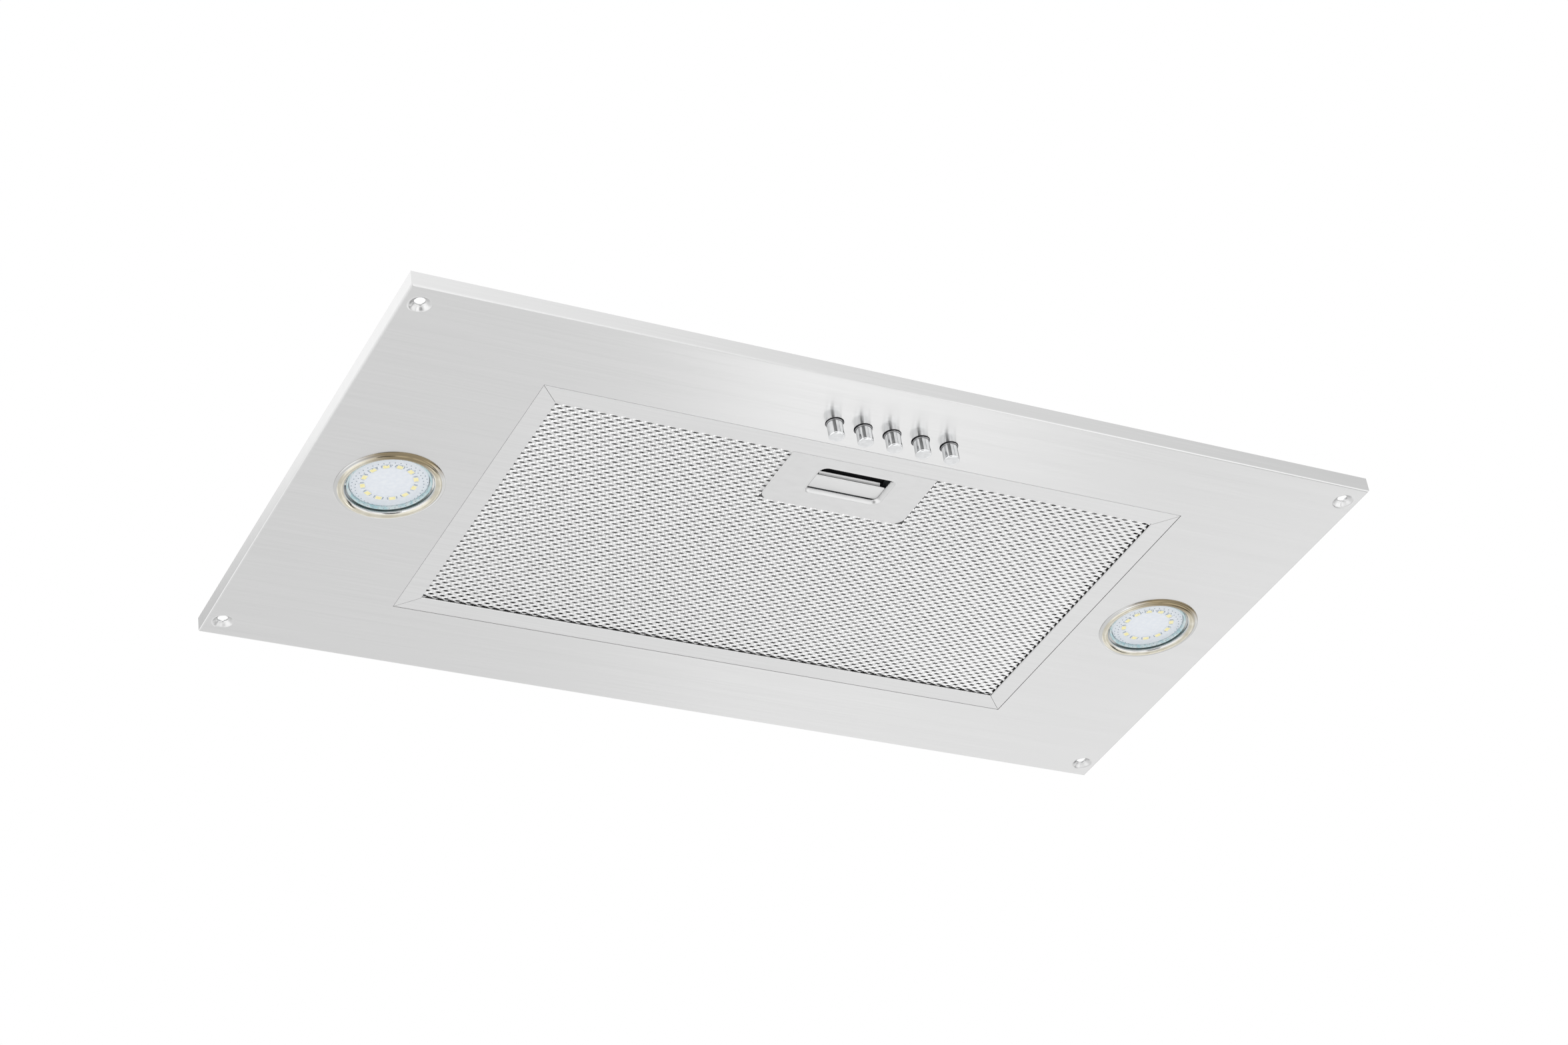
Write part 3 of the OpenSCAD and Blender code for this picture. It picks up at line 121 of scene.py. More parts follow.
def turn_profile(name, profile, x=0.0, y=0.0, steps=96, closed=False):
    """A turned piece: one point drawn along (radius, height) pairs, then spun round its own axis."""
    drop_selection()
    (r, z) = profile[0]
    bpy.ops.mesh.primitive_plane_add(size=0.0001, location=(x + r, y, z))
    piece = start_piece(name)
    bpy.ops.mesh.merge(type="CENTER")
    loop = profile[1:] + profile[:1] if closed else profile[1:]
    for (a, b) in loop:
        bpy.ops.mesh.extrude_vertices_move(TRANSFORM_OT_translate={"value": (a - r, 0, b - z)})
        (r, z) = (a, b)
    bpy.ops.mesh.select_all(action="SELECT")
    bpy.ops.mesh.remove_doubles(threshold=1e-6)
    bpy.ops.mesh.select_all(action="SELECT")
    bpy.ops.mesh.spin(steps=steps, angle=2 * math.pi, center=(x, y, 0), axis=(0, 0, 1))
    bpy.ops.mesh.select_all(action="SELECT")
    bpy.ops.mesh.remove_doubles(threshold=2e-6)
    bpy.ops.mesh.normals_make_consistent(inside=False)
    bpy.ops.object.mode_set(mode="OBJECT")
    return piece


def face_down(piece):
    """Leaves edit mode with the sheet's normals all on one side, the largest faces looking down."""
    bpy.ops.mesh.select_all(action="SELECT")
    bpy.ops.mesh.normals_make_consistent(inside=False)
    bpy.ops.object.mode_set(mode="OBJECT")
    if sum(f.area * f.normal.z for f in piece.data.polygons) > 0:
        bpy.ops.object.mode_set(mode="EDIT")
        bpy.ops.mesh.select_all(action="SELECT")
        bpy.ops.mesh.flip_normals()
        bpy.ops.object.mode_set(mode="OBJECT")


def smooth(piece, degrees=35):
    take(piece)
    bpy.ops.object.shade_smooth_by_angle(angle=math.radians(degrees))


def join(pieces, name):
    drop_selection()
    for piece in pieces:
        piece.select_set(True)
    bpy.context.view_layer.objects.active = pieces[0]
    bpy.ops.object.join()
    pieces[0].name = pieces[0].data.name = name
    return pieces[0]


def hex_colour(text):
    """sRGB hex to the linear numbers that the shaders take."""
    parts = [int(text[i:i + 2], 16) / 255 for i in (1, 3, 5)]
    return [p / 12.92 if p <= 0.04045 else ((p + 0.055) / 1.055) ** 2.4 for p in parts] + [1.0]


def node(material, kind, settings={}, links={}):
    """Adds a shader node with its settings and its incoming links."""
    made = material.node_tree.nodes.new("ShaderNode" + kind)
    for key, value in settings.items():
        if isinstance(key, int) or key in made.inputs:
            made.inputs[key].default_value = value
        else:
            setattr(made, key, value)
    for key, source in links.items():
        material.node_tree.links.new(source, made.inputs[key])
    return made


def new_material(name):
    material = bpy.data.materials.new(name)
    material.use_nodes = True
    material.node_tree.nodes.clear()
    return material


def ramp(material, source, stops, interpolation="LINEAR"):
    """Colour ramp over a value, from (place, hex or number) stops."""
    made = node(material, "ValToRGB", {}, {0: source})
    made.color_ramp.interpolation = interpolation
    while len(made.color_ramp.elements) < len(stops):
        made.color_ramp.elements.new(0.5)
    for element, (place, value) in zip(made.color_ramp.elements, stops):
        element.position = place
        element.color = hex_colour(value) if isinstance(value, str) else [value, value, value, 1]
    return made.outputs[0]


def grain(material, scale, detail):
    """Noise that stays with the piece, about this many grains to the metre."""
    place = node(material, "TexCoord").outputs["Object"]
    return node(material, "TexNoise", {"Scale": scale, "Detail": detail}, {0: place}).outputs[0]


def fade(material, value, start, end, low=0.0, high=1.0):
    """Goes from low, where the value is start, to high, where it is end."""
    settings = {"From Min": start, "From Max": end, "To Min": low, "To Max": high}
    return node(material, "MapRange", settings, {0: value}).outputs[0]


def bump(material, height, strength, distance):
    return node(material, "Bump", {"Strength": strength, "Distance": distance}, {"Height": height}).outputs[0]


def spread(material, noise, low, high):
    """Two colours or numbers, the first where the noise is low and the second where it is high."""
    return ramp(material, noise, [(0.3, low), (0.7, high)])


def surface(material, settings, links):
    """The material's principled shader and output."""
    shader = node(material, "BsdfPrincipled", settings, links)
    node(material, "OutputMaterial", {}, {0: shader.outputs[0]})
    return material


def paint(piece, materials, which=None):
    """The piece takes these materials; which() says the number of the one that a face has."""
    piece.data.materials.clear()
    for material in materials:
        piece.data.materials.append(material)
    if which:
        for face in piece.data.polygons:
            face.material_index = which(face)


def dress(piece, body, slot, materials, *nodes, which=None):
    """Materials, slot, body and the CAD nodes that the piece stands for. The slot is not used."""
    paint(piece, materials, which)
    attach(piece, body)
    if nodes:
        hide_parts(*nodes)


def cylinder(x, y, radius, z0, z1, sides=64):
    drop_selection()
    bpy.ops.mesh.primitive_cylinder_add(
        vertices=sides, radius=radius, depth=z1 - z0, location=(x, y, (z0 + z1) / 2))
    return bpy.context.object


def slab(x0, x1, y0, y1, z0, z1):
    drop_selection()
    bpy.ops.mesh.primitive_cube_add(size=1, location=((x0 + x1) / 2, (y0 + y1) / 2, (z0 + z1) / 2))
    bpy.context.object.scale = (x1 - x0, y1 - y0, z1 - z0)
    bpy.ops.object.transform_apply()
    return bpy.context.object


def cut(piece, cutters):
    """Takes the cutters' joined shape out of the piece."""
    tool = join(cutters, "cutter")
    bpy.ops.object.transform_apply()
    modify(piece, "BOOLEAN", object=tool, operation="DIFFERENCE", solver="EXACT")
    bpy.data.objects.remove(tool, do_unlink=True)


drop_selection()
bpy.ops.mesh.primitive_plane_add(size=2)
flat_x, flat_y = FASCIA_X - BEND, FASCIA_Y - BEND
bpy.context.object.scale = (flat_x, flat_y, 1)
fascia = start_piece("fascia")
bpy.ops.mesh.flip_normals()


def flat_edge(a, b):
    """True for an edge of the flat face, between the four folds."""
    return all(abs(p.z) < 1e-6 and abs(p.x) < flat_x + 1e-5 and abs(p.y) < flat_y + 1e-5 for p in (a, b))


for side in (-1, 1):
    pick("edges", lambda a, b: flat_edge(a, b) and min(a.y * side, b.y * side) > flat_y - 1e-5)
    bpy.ops.mesh.spin(steps=6, angle=math.pi / 2, center=(0, side * flat_y, BEND), axis=(-side, 0, 0))
    bpy.ops.mesh.extrude_region_move(TRANSFORM_OT_translate={"value": (0, 0, RIM - BEND)})
    pick("edges", lambda a, b: flat_edge(a, b) and min(a.x * side, b.x * side) > flat_x - 1e-5)
    bpy.ops.mesh.spin(steps=6, angle=math.pi / 2, center=(side * flat_x, 0, BEND), axis=(0, side, 0))
    bpy.ops.mesh.extrude_region_move(TRANSFORM_OT_translate={"value": (0, 0, RIM - BEND)})
# The ends of each fold run out to the mitre, and stop short of it by the open seam
for level in range(1, 8):
    turn = min(level, 6) * math.pi / 12
    out, up = BEND * math.sin(turn), BEND * (1 - math.cos(turn)) if level < 7 else RIM
    for sx, sy in CORNERS:
        pick("verts", lambda c: abs(c.z - up) < 1e-6 and abs(c.x - sx * flat_x) < 1e-6
             and abs(c.y - sy * (flat_y + out)) < 1e-5)
        bpy.ops.transform.translate(value=(sx * (out - LONG_SEAM), 0, 0))
        pick("verts", lambda c: abs(c.z - up) < 1e-6 and abs(c.y - sy * flat_y) < 1e-6
             and abs(c.x - sx * (flat_x + out)) < 1e-5)
        bpy.ops.transform.translate(value=(0, sy * out * (1 - SIDE_SEAM / BEND), 0))
face_down(fascia)
modify(fascia, "SOLIDIFY", thickness=SHEET, offset=-1)
cut(fascia, [slab(*OPENING, *THROUGH)]
    + [cylinder(s * LAMP_X, 0, LAMP_HOLE, *THROUGH, 96) for s in (-1, 1)]
    + [cylinder(x + a, ROW_Y + b, BUTTON_HOLE, *THROUGH, 48) for x, (a, b) in zip(BUTTON_X, BUTTON_PLAY)]
    + [cylinder(sx * SCREW_X, sy * SCREW_Y, DIMPLE, *THROUGH, 64) for sx, sy in CORNERS])
dimple_profile = [
    (DIMPLE, 0), (0.0056, 0.00002), (0.0053, 0.00010), (0.0050, 0.00026), (0.0045, 0.00064),
    (0.0037, 0.00130), (0.0032, 0.00166), (0.0029, 0.00184), (0.0027, 0.00198), (0.0026, 0.00218),
    (0.0026, 0.00270), (0.0032, 0.00262), (0.0038, 0.00222), (0.0048, 0.00140), (DIMPLE, SHEET)]
dimples = [turn_profile("dimple", dimple_profile, sx * SCREW_X, sy * SCREW_Y, 64, closed=True)
           for sx, sy in CORNERS]
fascia = join([fascia] + dimples, "fascia")
smooth(fascia, 32)
modify(fascia, "WEIGHTED_NORMAL", keep_sharp=True, weight=80)
# The brushing was done on the flat sheet, so its map is the sheet before it was folded
flat_map = fascia.data.uv_layers.new(name="sheet")
for face in fascia.data.polygons:
    for corner in face.loop_indices:
        p = fascia.data.vertices[fascia.data.loops[corner].vertex_index].co
        u, v = p.x, p.y
        if abs(face.normal.x) > 0.3 and abs(p.x) > FASCIA_X - 0.003:
            u = math.copysign(abs(p.x) + p.z, p.x)
        elif abs(face.normal.y) > 0.3 and abs(p.y) > FASCIA_Y - 0.003:
            v = math.copysign(abs(p.y) + p.z, p.y)
        flat_map.data[corner].uv = (u, v)

# Stainless steel, fine brushed: long hair lines 0.05 mm apart, drawn from 1 mm apart on and 70 mm long so
# that they show, and a gloss that is blurred across the lines and clear along them.
brushed_steel = new_material("stainless_fine_brushed")
sheet_place = node(brushed_steel, "UVMap", {"uv_map": "sheet"}).outputs[0]
hair = node(brushed_steel, "TexNoise", {"Scale": 1.0, "Detail": 5.0, "Roughness": 0.62},
            {0: node(brushed_steel, "Mapping", {"Scale": (14, 900, 1)}, {0: sheet_place}).outputs[0]})
bands = node(brushed_steel, "TexNoise", {"Scale": 1.0, "Detail": 3.0, "Roughness": 0.5},
             {0: node(brushed_steel, "Mapping", {"Scale": (5, 130, 1), "Location": (3, 7, 0)},
                      {0: sheet_place}).outputs[0]})
mixed = node(brushed_steel, "Mix", {"data_type": "FLOAT", 0: 0.35},
             {2: hair.outputs[0], 3: bands.outputs[0]})
surface(brushed_steel, {"Metallic": 1.0, "Anisotropic": 0.94, "Anisotropic Rotation": 0.25}, {
    "Base Color": spread(brushed_steel, mixed.outputs[0], "#D5D5D5", "#DBDBDB"),
    "Roughness": ramp(brushed_steel, hair.outputs[0], [(0.25, 0.21), (0.75, 0.24)]),
    "Normal": bump(brushed_steel, hair.outputs[0], 0.06, 0.00003),
    "Tangent": node(brushed_steel, "Tangent", {"direction_type": "UV_MAP", "uv_map": "sheet"}).outputs[0]})
dress(fascia, "hood", "stainless", [brushed_steel], "fascia_panel")

# Button rings: inside each of the fascia's button holes stands the guide's thin plated sleeve. The guides have
# some play, so the dark gap between sleeve and sheet is wider on one side. A black ring over the gap and the
# sleeves' black tops behind the sheet are painted shade: dark sheets where the gap's depth lies in shadow.
sleeve_profile = [(0.00424, 0.0015), (0.00426, 0.0), (0.00427, -0.0005), (0.00422, -0.00068),
                  (0.00413, -0.00076), (0.00404, -0.00070), (0.00399, -0.0005), (0.00398, 0.0015)]
painted_shade_ring_profile = [(0.00405, 0.00100), (0.00490, 0.00100), (0.00490, 0.00115), (0.00405, 0.00115)]
ring_parts = []
for x in BUTTON_X:
    ring_parts.append(turn_profile("sleeve", sleeve_profile, x, ROW_Y, 64, closed=True))
    ring_parts.append(turn_profile("gap", painted_shade_ring_profile, x, ROW_Y, 48, closed=True))
collars = join(ring_parts, "button_rings")
smooth(collars, 40)

# Chromium plate over polished brass: a mirror with the faintest haze, a little darker than silver.
chrome = new_material("chromium_plate_polished")
chrome_haze = grain(chrome, 420.0, 3.0)
surface(chrome, {"Metallic": 1.0}, {
    "Base Color": spread(chrome, chrome_haze, "#D9DADB", "#E5E6E7"),
    "Roughness": spread(chrome, chrome_haze, 0.04, 0.08)})

# Push buttons: turned and chromed caps with a flat end and a small round at its edge, on a plastic
# plunger with a stop flange behind the fascia and a stem into the switch.
PLUNGER_FOOT = 0.0025  # above this height the button is its plastic plunger
button_profile = [(0.0, -0.00822), (0.0020, -0.00822), (0.00325, -0.00821), (0.00348, -0.00818),
                  (0.00367, -0.00809), (0.00380, -0.00796), (0.00388, -0.00779), (0.0039, -0.0076),
                  (0.0039, 0.0024), (0.0039, 0.00265), (0.0050, 0.00265), (0.0050, 0.00415),
                  (0.0022, 0.00415), (0.0022, 0.01530), (0.0019, 0.01557), (0.0, 0.01557)]
button_bodies = [turn_profile("button_1", button_profile, BUTTON_X[0], ROW_Y, 96)]
smooth(button_bodies[0], 40)

# ABS, moulded black: the plunger behind the chromed cap, a soft even sheen over a fine grain.
black_abs = new_material("abs_moulded_black")
abs_grain = grain(black_abs, 1400.0, 3.0)
surface(black_abs, {"IOR": 1.53}, {
    "Base Color": spread(black_abs, abs_grain, "#151517", "#212124"),
    "Roughness": spread(black_abs, abs_grain, 0.42, 0.58),
    "Normal": bump(black_abs, abs_grain, 0.25, 0.00005)})
# Nickel, dull: the sleeves, softer than the caps, and darker than them as painted shade for the dark that the
# sleeves mirror, which sets the caps off.
sleeve_nickel_painted_dark = new_material("nickel_plate_dull")
nickel_tone = grain(sleeve_nickel_painted_dark, 700.0, 3.0)
surface(sleeve_nickel_painted_dark, {"Metallic": 1.0}, {
    "Base Color": spread(sleeve_nickel_painted_dark, nickel_tone, "#A8A8AA", "#C0C0C1"),
    "Roughness": spread(sleeve_nickel_painted_dark, nickel_tone, 0.18, 0.28)})
# Painted shade: above the fascia's face the sleeves and the ring over the gap take the black plastic.
dress(collars, "hood", "nickel", [sleeve_nickel_painted_dark, black_abs], "button_collars",
      which=lambda f: 1 if f.center.z > 0.0001 else 0)
button_bodies += [copied(button_bodies[0], i * BUTTON_PITCH, 0) for i in range(1, 5)]
for i, cap in enumerate(button_bodies):
    cap.name = cap.data.name = "push_button_%d" % (i + 1)
    dress(cap, "button_%d" % (i + 1), "chrome", [chrome, black_abs], "button_%d" % (i + 1),
          which=lambda f: 1 if f.center.z > PLUNGER_FOOT else 0)

# Lamp rings: spun nickel-plated bezels with a stepped flat rim, a round bead and a slope down to the
# glass, each with a sleeve that passes up through the fascia.
ring_profile = [(0.0265, 0.0), (0.02645, -0.00030), (0.0262, -0.00050), (0.0258, -0.00060),
                (0.0252, -0.00064), (0.0249, -0.00074), (0.0247, -0.00092), (0.0245, -0.00114),
                (0.02415, -0.00136), (0.0237, -0.00150), (0.0233, -0.00154), (0.0229, -0.00149),
                (0.0224, -0.00128), (0.0219, -0.00096), (0.0215, -0.00064), (0.02125, -0.00036),
                (0.0212, 0.0), (0.0212, 0.0006), (0.0226, 0.0006), (0.0226, 0.009), (0.0238, 0.009),
                (0.0238, 0.0)]
lamp_rings = {}
for side, s in (("left", -1), ("right", 1)):
    lamp_rings[side] = turn_profile("lamp_ring", ring_profile, s * LAMP_X, 0, 144, closed=True)
    smooth(lamp_rings[side], 40)
    lamp_rings[side].name = "lamp_bezel_" + side

# Nickel plate, bright: straw-coloured on the bead and silver on the thin outer flange. Towards the front it is
# painted brown, a painted reflection of the lamp board and the dark gap that the ring's inner slope mirrors
# there.
nickel = new_material("nickel_plate_bright")
nickel_place = node(nickel, "TexCoord").outputs["Object"]
nickel_haze = node(nickel, "TexNoise", {"Scale": 260.0, "Detail": 4.0}, {0: nickel_place})
nickel_axes = node(nickel, "SeparateXYZ", {}, {0: nickel_place})
on_flange = fade(nickel, nickel_axes.outputs[2], -0.00105, -0.00065)
# Painted reflection: the ring turns brown towards the front.
painted_reflection_front = fade(nickel, nickel_axes.outputs[1], -0.0135, -0.0225)
straw = spread(nickel, nickel_haze.outputs[0], "#CBC5B4", "#D7D3C6")
silvered = node(nickel, "Mix", {"data_type": "RGBA", 7: hex_colour("#CECECD")}, {0: on_flange, 6: straw})
painted_reflection_brown = node(nickel, "Mix", {"data_type": "RGBA", 7: hex_colour("#8F8269")},
               {0: painted_reflection_front, 6: silvered.outputs[2]})
surface(nickel, {"Metallic": 1.0}, {
    "Base Color": painted_reflection_brown.outputs[2],
    "Roughness": spread(nickel, nickel_haze.outputs[0], 0.13, 0.19)})
for side in lamp_rings:
    dress(lamp_rings[side], "hood", "nickel", [nickel], "lamp_ring_" + side)

# Lamp cups: pressed glass reflectors of the bulbs, 41 mm across, whose ground rim shows blue-green
# round the circuit board.
glass_profile = [(0.0193, 0.0012), (0.0194, 0.00102), (0.0197, 0.0009), (0.0201, 0.0009), (0.0204, 0.00102),
                 (0.0205, 0.0013), (0.0205, 0.0049), (0.0112, 0.0309), (0.0100, 0.0309), (0.0193, 0.0049)]
lamp_cups = {}
for side, s in (("left", -1), ("right", 1)):
    lamp_cups[side] = turn_profile("lamp_cup", glass_profile, s * LAMP_X, 0, 144, closed=True)
    smooth(lamp_cups[side], 40)
    lamp_cups[side].name = "lamp_cup_" + side

# Soda-lime glass, pressed: iron in it gives the edge its blue-green, and slight ripples break its gloss.
glass = new_material("soda_lime_glass_pressed")
glass_ripple = grain(glass, 330.0, 2.0)
surface(glass, {"IOR": 1.52, "Transmission Weight": 0.22, "Roughness": 0.08}, {
    "Base Color": ramp(glass, glass_ripple, [(0.35, "#C2E8EE"), (0.65, "#F0FBFC")]),
    "Normal": bump(glass, glass_ripple, 0.3, 0.0002)})
for side in lamp_cups:
    dress(lamp_cups[side], "hood", "glass", [glass], "lamp_glass_" + side)

# Lamp boards: white circuit boards with twelve yellow-phosphor LEDs on a 25 mm circle, solder pads beside
# each, two rings of plated holes near the edge, and the post that carries the board in the cup.
BOARD_Z, BOARD_R, CHIP_RING, CHIPS, HOLES = 0.0022, 0.0190, 0.0127, 12, 42
HOLE_RINGS = [(0.01805, 0.0), (0.01620, 0.5)]  # radius, and the shift of the holes in steps
ROOT = BOARD_Z + 0.0001  # what stands on the board reaches this far into it

# White solder mask over the board: a cool white lacquer with a faint mottle and a soft gloss.
solder_mask = new_material("solder_mask_white")
mask_mottle = grain(solder_mask, 500.0, 2.0)
surface(solder_mask, {"IOR": 1.5, "Roughness": 0.35}, {
    "Base Color": spread(solder_mask, mask_mottle, "#E6EBF2", "#EDF1F6")})

# LED phosphor: silicone filled with yellow powder, pale and slightly uneven, in a white package.
phosphor = new_material("led_phosphor_silicone")
powder = grain(phosphor, 900.0, 3.0)
surface(phosphor, {"IOR": 1.41, "Roughness": 0.4}, {
    "Base Color": spread(phosphor, powder, "#F8EDA8", "#FFF8CC")})

# Tinned copper: the pads and hole rims, grey and dull.
tinned = new_material("tinned_copper")
tin_spots = grain(tinned, 1500.0, 2.0)
surface(tinned, {"Metallic": 0.3, "Roughness": 0.5}, {
    "Base Color": spread(tinned, tin_spots, "#9CA7B1", "#B7C0C8")})

board_materials = [solder_mask, phosphor, tinned]
board_profile = [(0.0, BOARD_Z), (0.0187, BOARD_Z), (BOARD_R, BOARD_Z + 0.00012), (BOARD_R, 0.0035),
                 (0.0189, 0.0036), (0.0050, 0.0036), (0.0050, 0.0304), (0.0, 0.0304)]
package = slab(-0.00175, 0.00175, -0.0014, 0.0014, BOARD_Z - 0.00040, ROOT)
modify(package, "BEVEL", width=0.00015, segments=2)
bpy.ops.object.mode_set(mode="EDIT")
pick("faces", lambda c, n: n.z < -0.9)
bpy.ops.mesh.inset(thickness=0.00012)
bpy.ops.mesh.extrude_region_move(TRANSFORM_OT_translate={"value": (0, 0, 0.00014)})
bpy.ops.object.mode_set(mode="OBJECT")
paint(package, board_materials,
      lambda f: 1 if f.normal.z < -0.9 and abs(f.center.x) < 0.0011 and abs(f.center.y) < 0.0009 else 0)
pads = [slab(x, x + 0.00045, -0.0009, 0.0009, BOARD_Z - 0.00012, ROOT) for x in (-0.00240, 0.00195)]
for pad in pads:
    modify(pad, "BEVEL", width=0.00006, segments=2)
    paint(pad, board_materials, lambda f: 2)
chip = join([package] + pads, "chip")
smooth(chip, 30)
dot = cylinder(0, 0, 0.00034, BOARD_Z - 0.00006, ROOT, 10)
modify(dot, "BEVEL", width=0.00003, segments=1)
paint(dot, board_materials, lambda f: 2)
lamp_boards = {}
for side, s in (("left", -1), ("right", 1)):
    parts = [turn_profile("board", board_profile, s * LAMP_X, 0, 96)]
    paint(parts[0], board_materials)
    for k in range(CHIPS):
        angle = 2 * math.pi * k / CHIPS + math.radians(2)
        parts.append(copied(chip, s * LAMP_X + CHIP_RING * math.cos(angle), CHIP_RING * math.sin(angle),
                            angle + math.pi / 2))
    for ring, shift in HOLE_RINGS:
        for k in range(HOLES):
            angle = 2 * math.pi * (k + shift) / HOLES
            parts.append(copied(dot, s * LAMP_X + ring * math.cos(angle), ring * math.sin(angle)))
    lamp_boards[side] = join(parts, "lamp_circuit_" + side)
    smooth(lamp_boards[side], 30)
for part in (chip, dot):
    bpy.data.objects.remove(part, do_unlink=True)
for side in lamp_boards:
    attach(lamp_boards[side], "hood")
    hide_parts("lamp_board_" + side)

# Filter frame: an aluminium channel round the mesh, folded from one strip and mitred at its corners,
# where a hair of the joint stays open. Two tabs on its back edge hang it in the fascia.
FILTER_X, FILTER_Y, FILTER_T, STRIP, LIP = 0.17565, 0.09290, 0.0090, 0.01075, 0.0007
FRAME_T, FRAME_BEND, LIP_BEND, MITRE = 0.0006, 0.0004, 0.00062, 0.00012
TAB_X, TAB_HALF, TAB_IN, TAB_OUT, TAB_Z0, TAB_Z1 = 0.08775, 0.015, 0.0012, 0.0046, 0.0011, 0.0018
SLOT_X, SLOT_Z0, SLOT_Z1 = 0.0073, 0.00215, 0.00355  # the catch's tongue passes here


def folded_strip(name, points, x0, x1):
    """A strip of sheet: its section drawn through (y, z) points at x0, then pulled along X to x1."""
    drop_selection()
    (y, z) = points[0]
    bpy.ops.mesh.primitive_plane_add(size=0.0001, location=(x0, y, z))
    piece = start_piece(name)
    bpy.ops.mesh.merge(type="CENTER")
    for (a, b) in points[1:]:
        bpy.ops.mesh.extrude_vertices_move(TRANSFORM_OT_translate={"value": (0, a - y, b - z)})
        (y, z) = (a, b)
    bpy.ops.mesh.select_all(action="SELECT")
    bpy.ops.mesh.extrude_region_move(TRANSFORM_OT_translate={"value": (x1 - x0, 0, 0)})
    bpy.ops.mesh.select_all(action="SELECT")
    return piece


def bend_points(y, z, radius, start, steps=5):
    """Quarter circle of a fold, from the start angle on, in degrees."""
    return [(y + radius * math.cos(math.radians(start + 90 * i / steps)),
             z + radius * math.sin(math.radians(start + 90 * i / steps))) for i in range(steps + 1)]


def frame_section(half):
    """Channel section of the front strip, from the inner lip's top round to the back flange."""
    inner = -half + STRIP
    lip = bend_points(inner - LIP_BEND, LIP_BEND, LIP_BEND, 270)
    web = bend_points(-half + FRAME_BEND, FRAME_BEND, FRAME_BEND, 180)
    top = bend_points(-half + FRAME_BEND, FILTER_T - FRAME_BEND, FRAME_BEND, 90)
    return [(inner, LIP)] + lip[::-1] + web[::-1] + top[::-1] + [(inner, FILTER_T)]


strips = []
for turn, half, length in ((0, FILTER_Y, FILTER_X), (90, FILTER_X, FILTER_Y),
                           (180, FILTER_Y, FILTER_X), (270, FILTER_X, FILTER_Y)):
    strip = folded_strip("strip", frame_section(half), -length - 0.01, length + 0.01)
    for end in (-1, 1):
        bpy.ops.mesh.select_all(action="SELECT")
        bpy.ops.mesh.bisect(plane_co=(end * (length - MITRE), -half, 0), plane_no=(end, 1, 0), clear_outer=True)
    bpy.ops.mesh.select_all(action="SELECT")
    bpy.ops.mesh.normals_make_consistent(inside=False)
    bpy.ops.object.mode_set(mode="OBJECT")
    strip.rotation_euler = (0, 0, math.radians(turn))
    bpy.ops.object.transform_apply()
    strips.append(strip)
for strip in strips:
    modify(strip, "SOLIDIFY", thickness=FRAME_T, offset=-1, use_even_offset=True)
for s in (-1, 1):
    tab = slab(s * TAB_X - TAB_HALF, s * TAB_X + TAB_HALF, FILTER_Y - TAB_IN, FILTER_Y + TAB_OUT,
               TAB_Z0, TAB_Z1)
    modify(tab, "BEVEL", width=0.0002, segments=2)
    strips.append(tab)
filter_frame = join(strips, "filter_channel")
cut(filter_frame, [slab(-SLOT_X, SLOT_X, -FILTER_Y - 0.001, -FILTER_Y + 0.0016, SLOT_Z0, SLOT_Z1)])
smooth(filter_frame, 32)
modify(filter_frame, "WEIGHTED_NORMAL", keep_sharp=True, weight=80)

# Aluminium, mill finish: pale and matt with faint rolling lines along the strip.
mill_aluminium = new_material("aluminium_mill_finish")
mill_place = node(mill_aluminium, "TexCoord").outputs["Object"]
mill_lines = node(mill_aluminium, "TexNoise", {"Scale": 1.0, "Detail": 4.0},
                  {0: node(mill_aluminium, "Mapping", {"Scale": (16, 700, 300)}, {0: mill_place}).outputs[0]})
surface(mill_aluminium, {"Metallic": 1.0}, {
    "Base Color": spread(mill_aluminium, mill_lines.outputs[0], "#D8D8D8", "#DEDEDE"),
    "Roughness": spread(mill_aluminium, mill_lines.outputs[0], 0.40, 0.44),
    "Normal": bump(mill_aluminium, mill_lines.outputs[0], 0.04, 0.00004)})
dress(filter_frame, "filter", "aluminium", [mill_aluminium], "filter_frame")

# Filter mesh: expanded aluminium, slit and stretched so that each strand waves between its neighbours and
# leans, with a diamond 6.04 mm long and rows 2.18 mm apart. One strand is drawn and repeated.
MESH_LONG, MESH_ROW, STRAND, STRAND_T, LEAN = 0.00604, 0.00218, 0.00152, 0.00034, math.radians(9)
WAVE, WAVE_Z, KNUCKLE = 0.00006, 0.00030, 0.00120
MESH_X, MESH_Y, LATCH_X, LATCH_Y = 0.1746, 0.0918, 0.0400, -0.0440
ROW_SHIFT = 0.00065  # brings a row right along the frame's back lip, where a dark slot would show


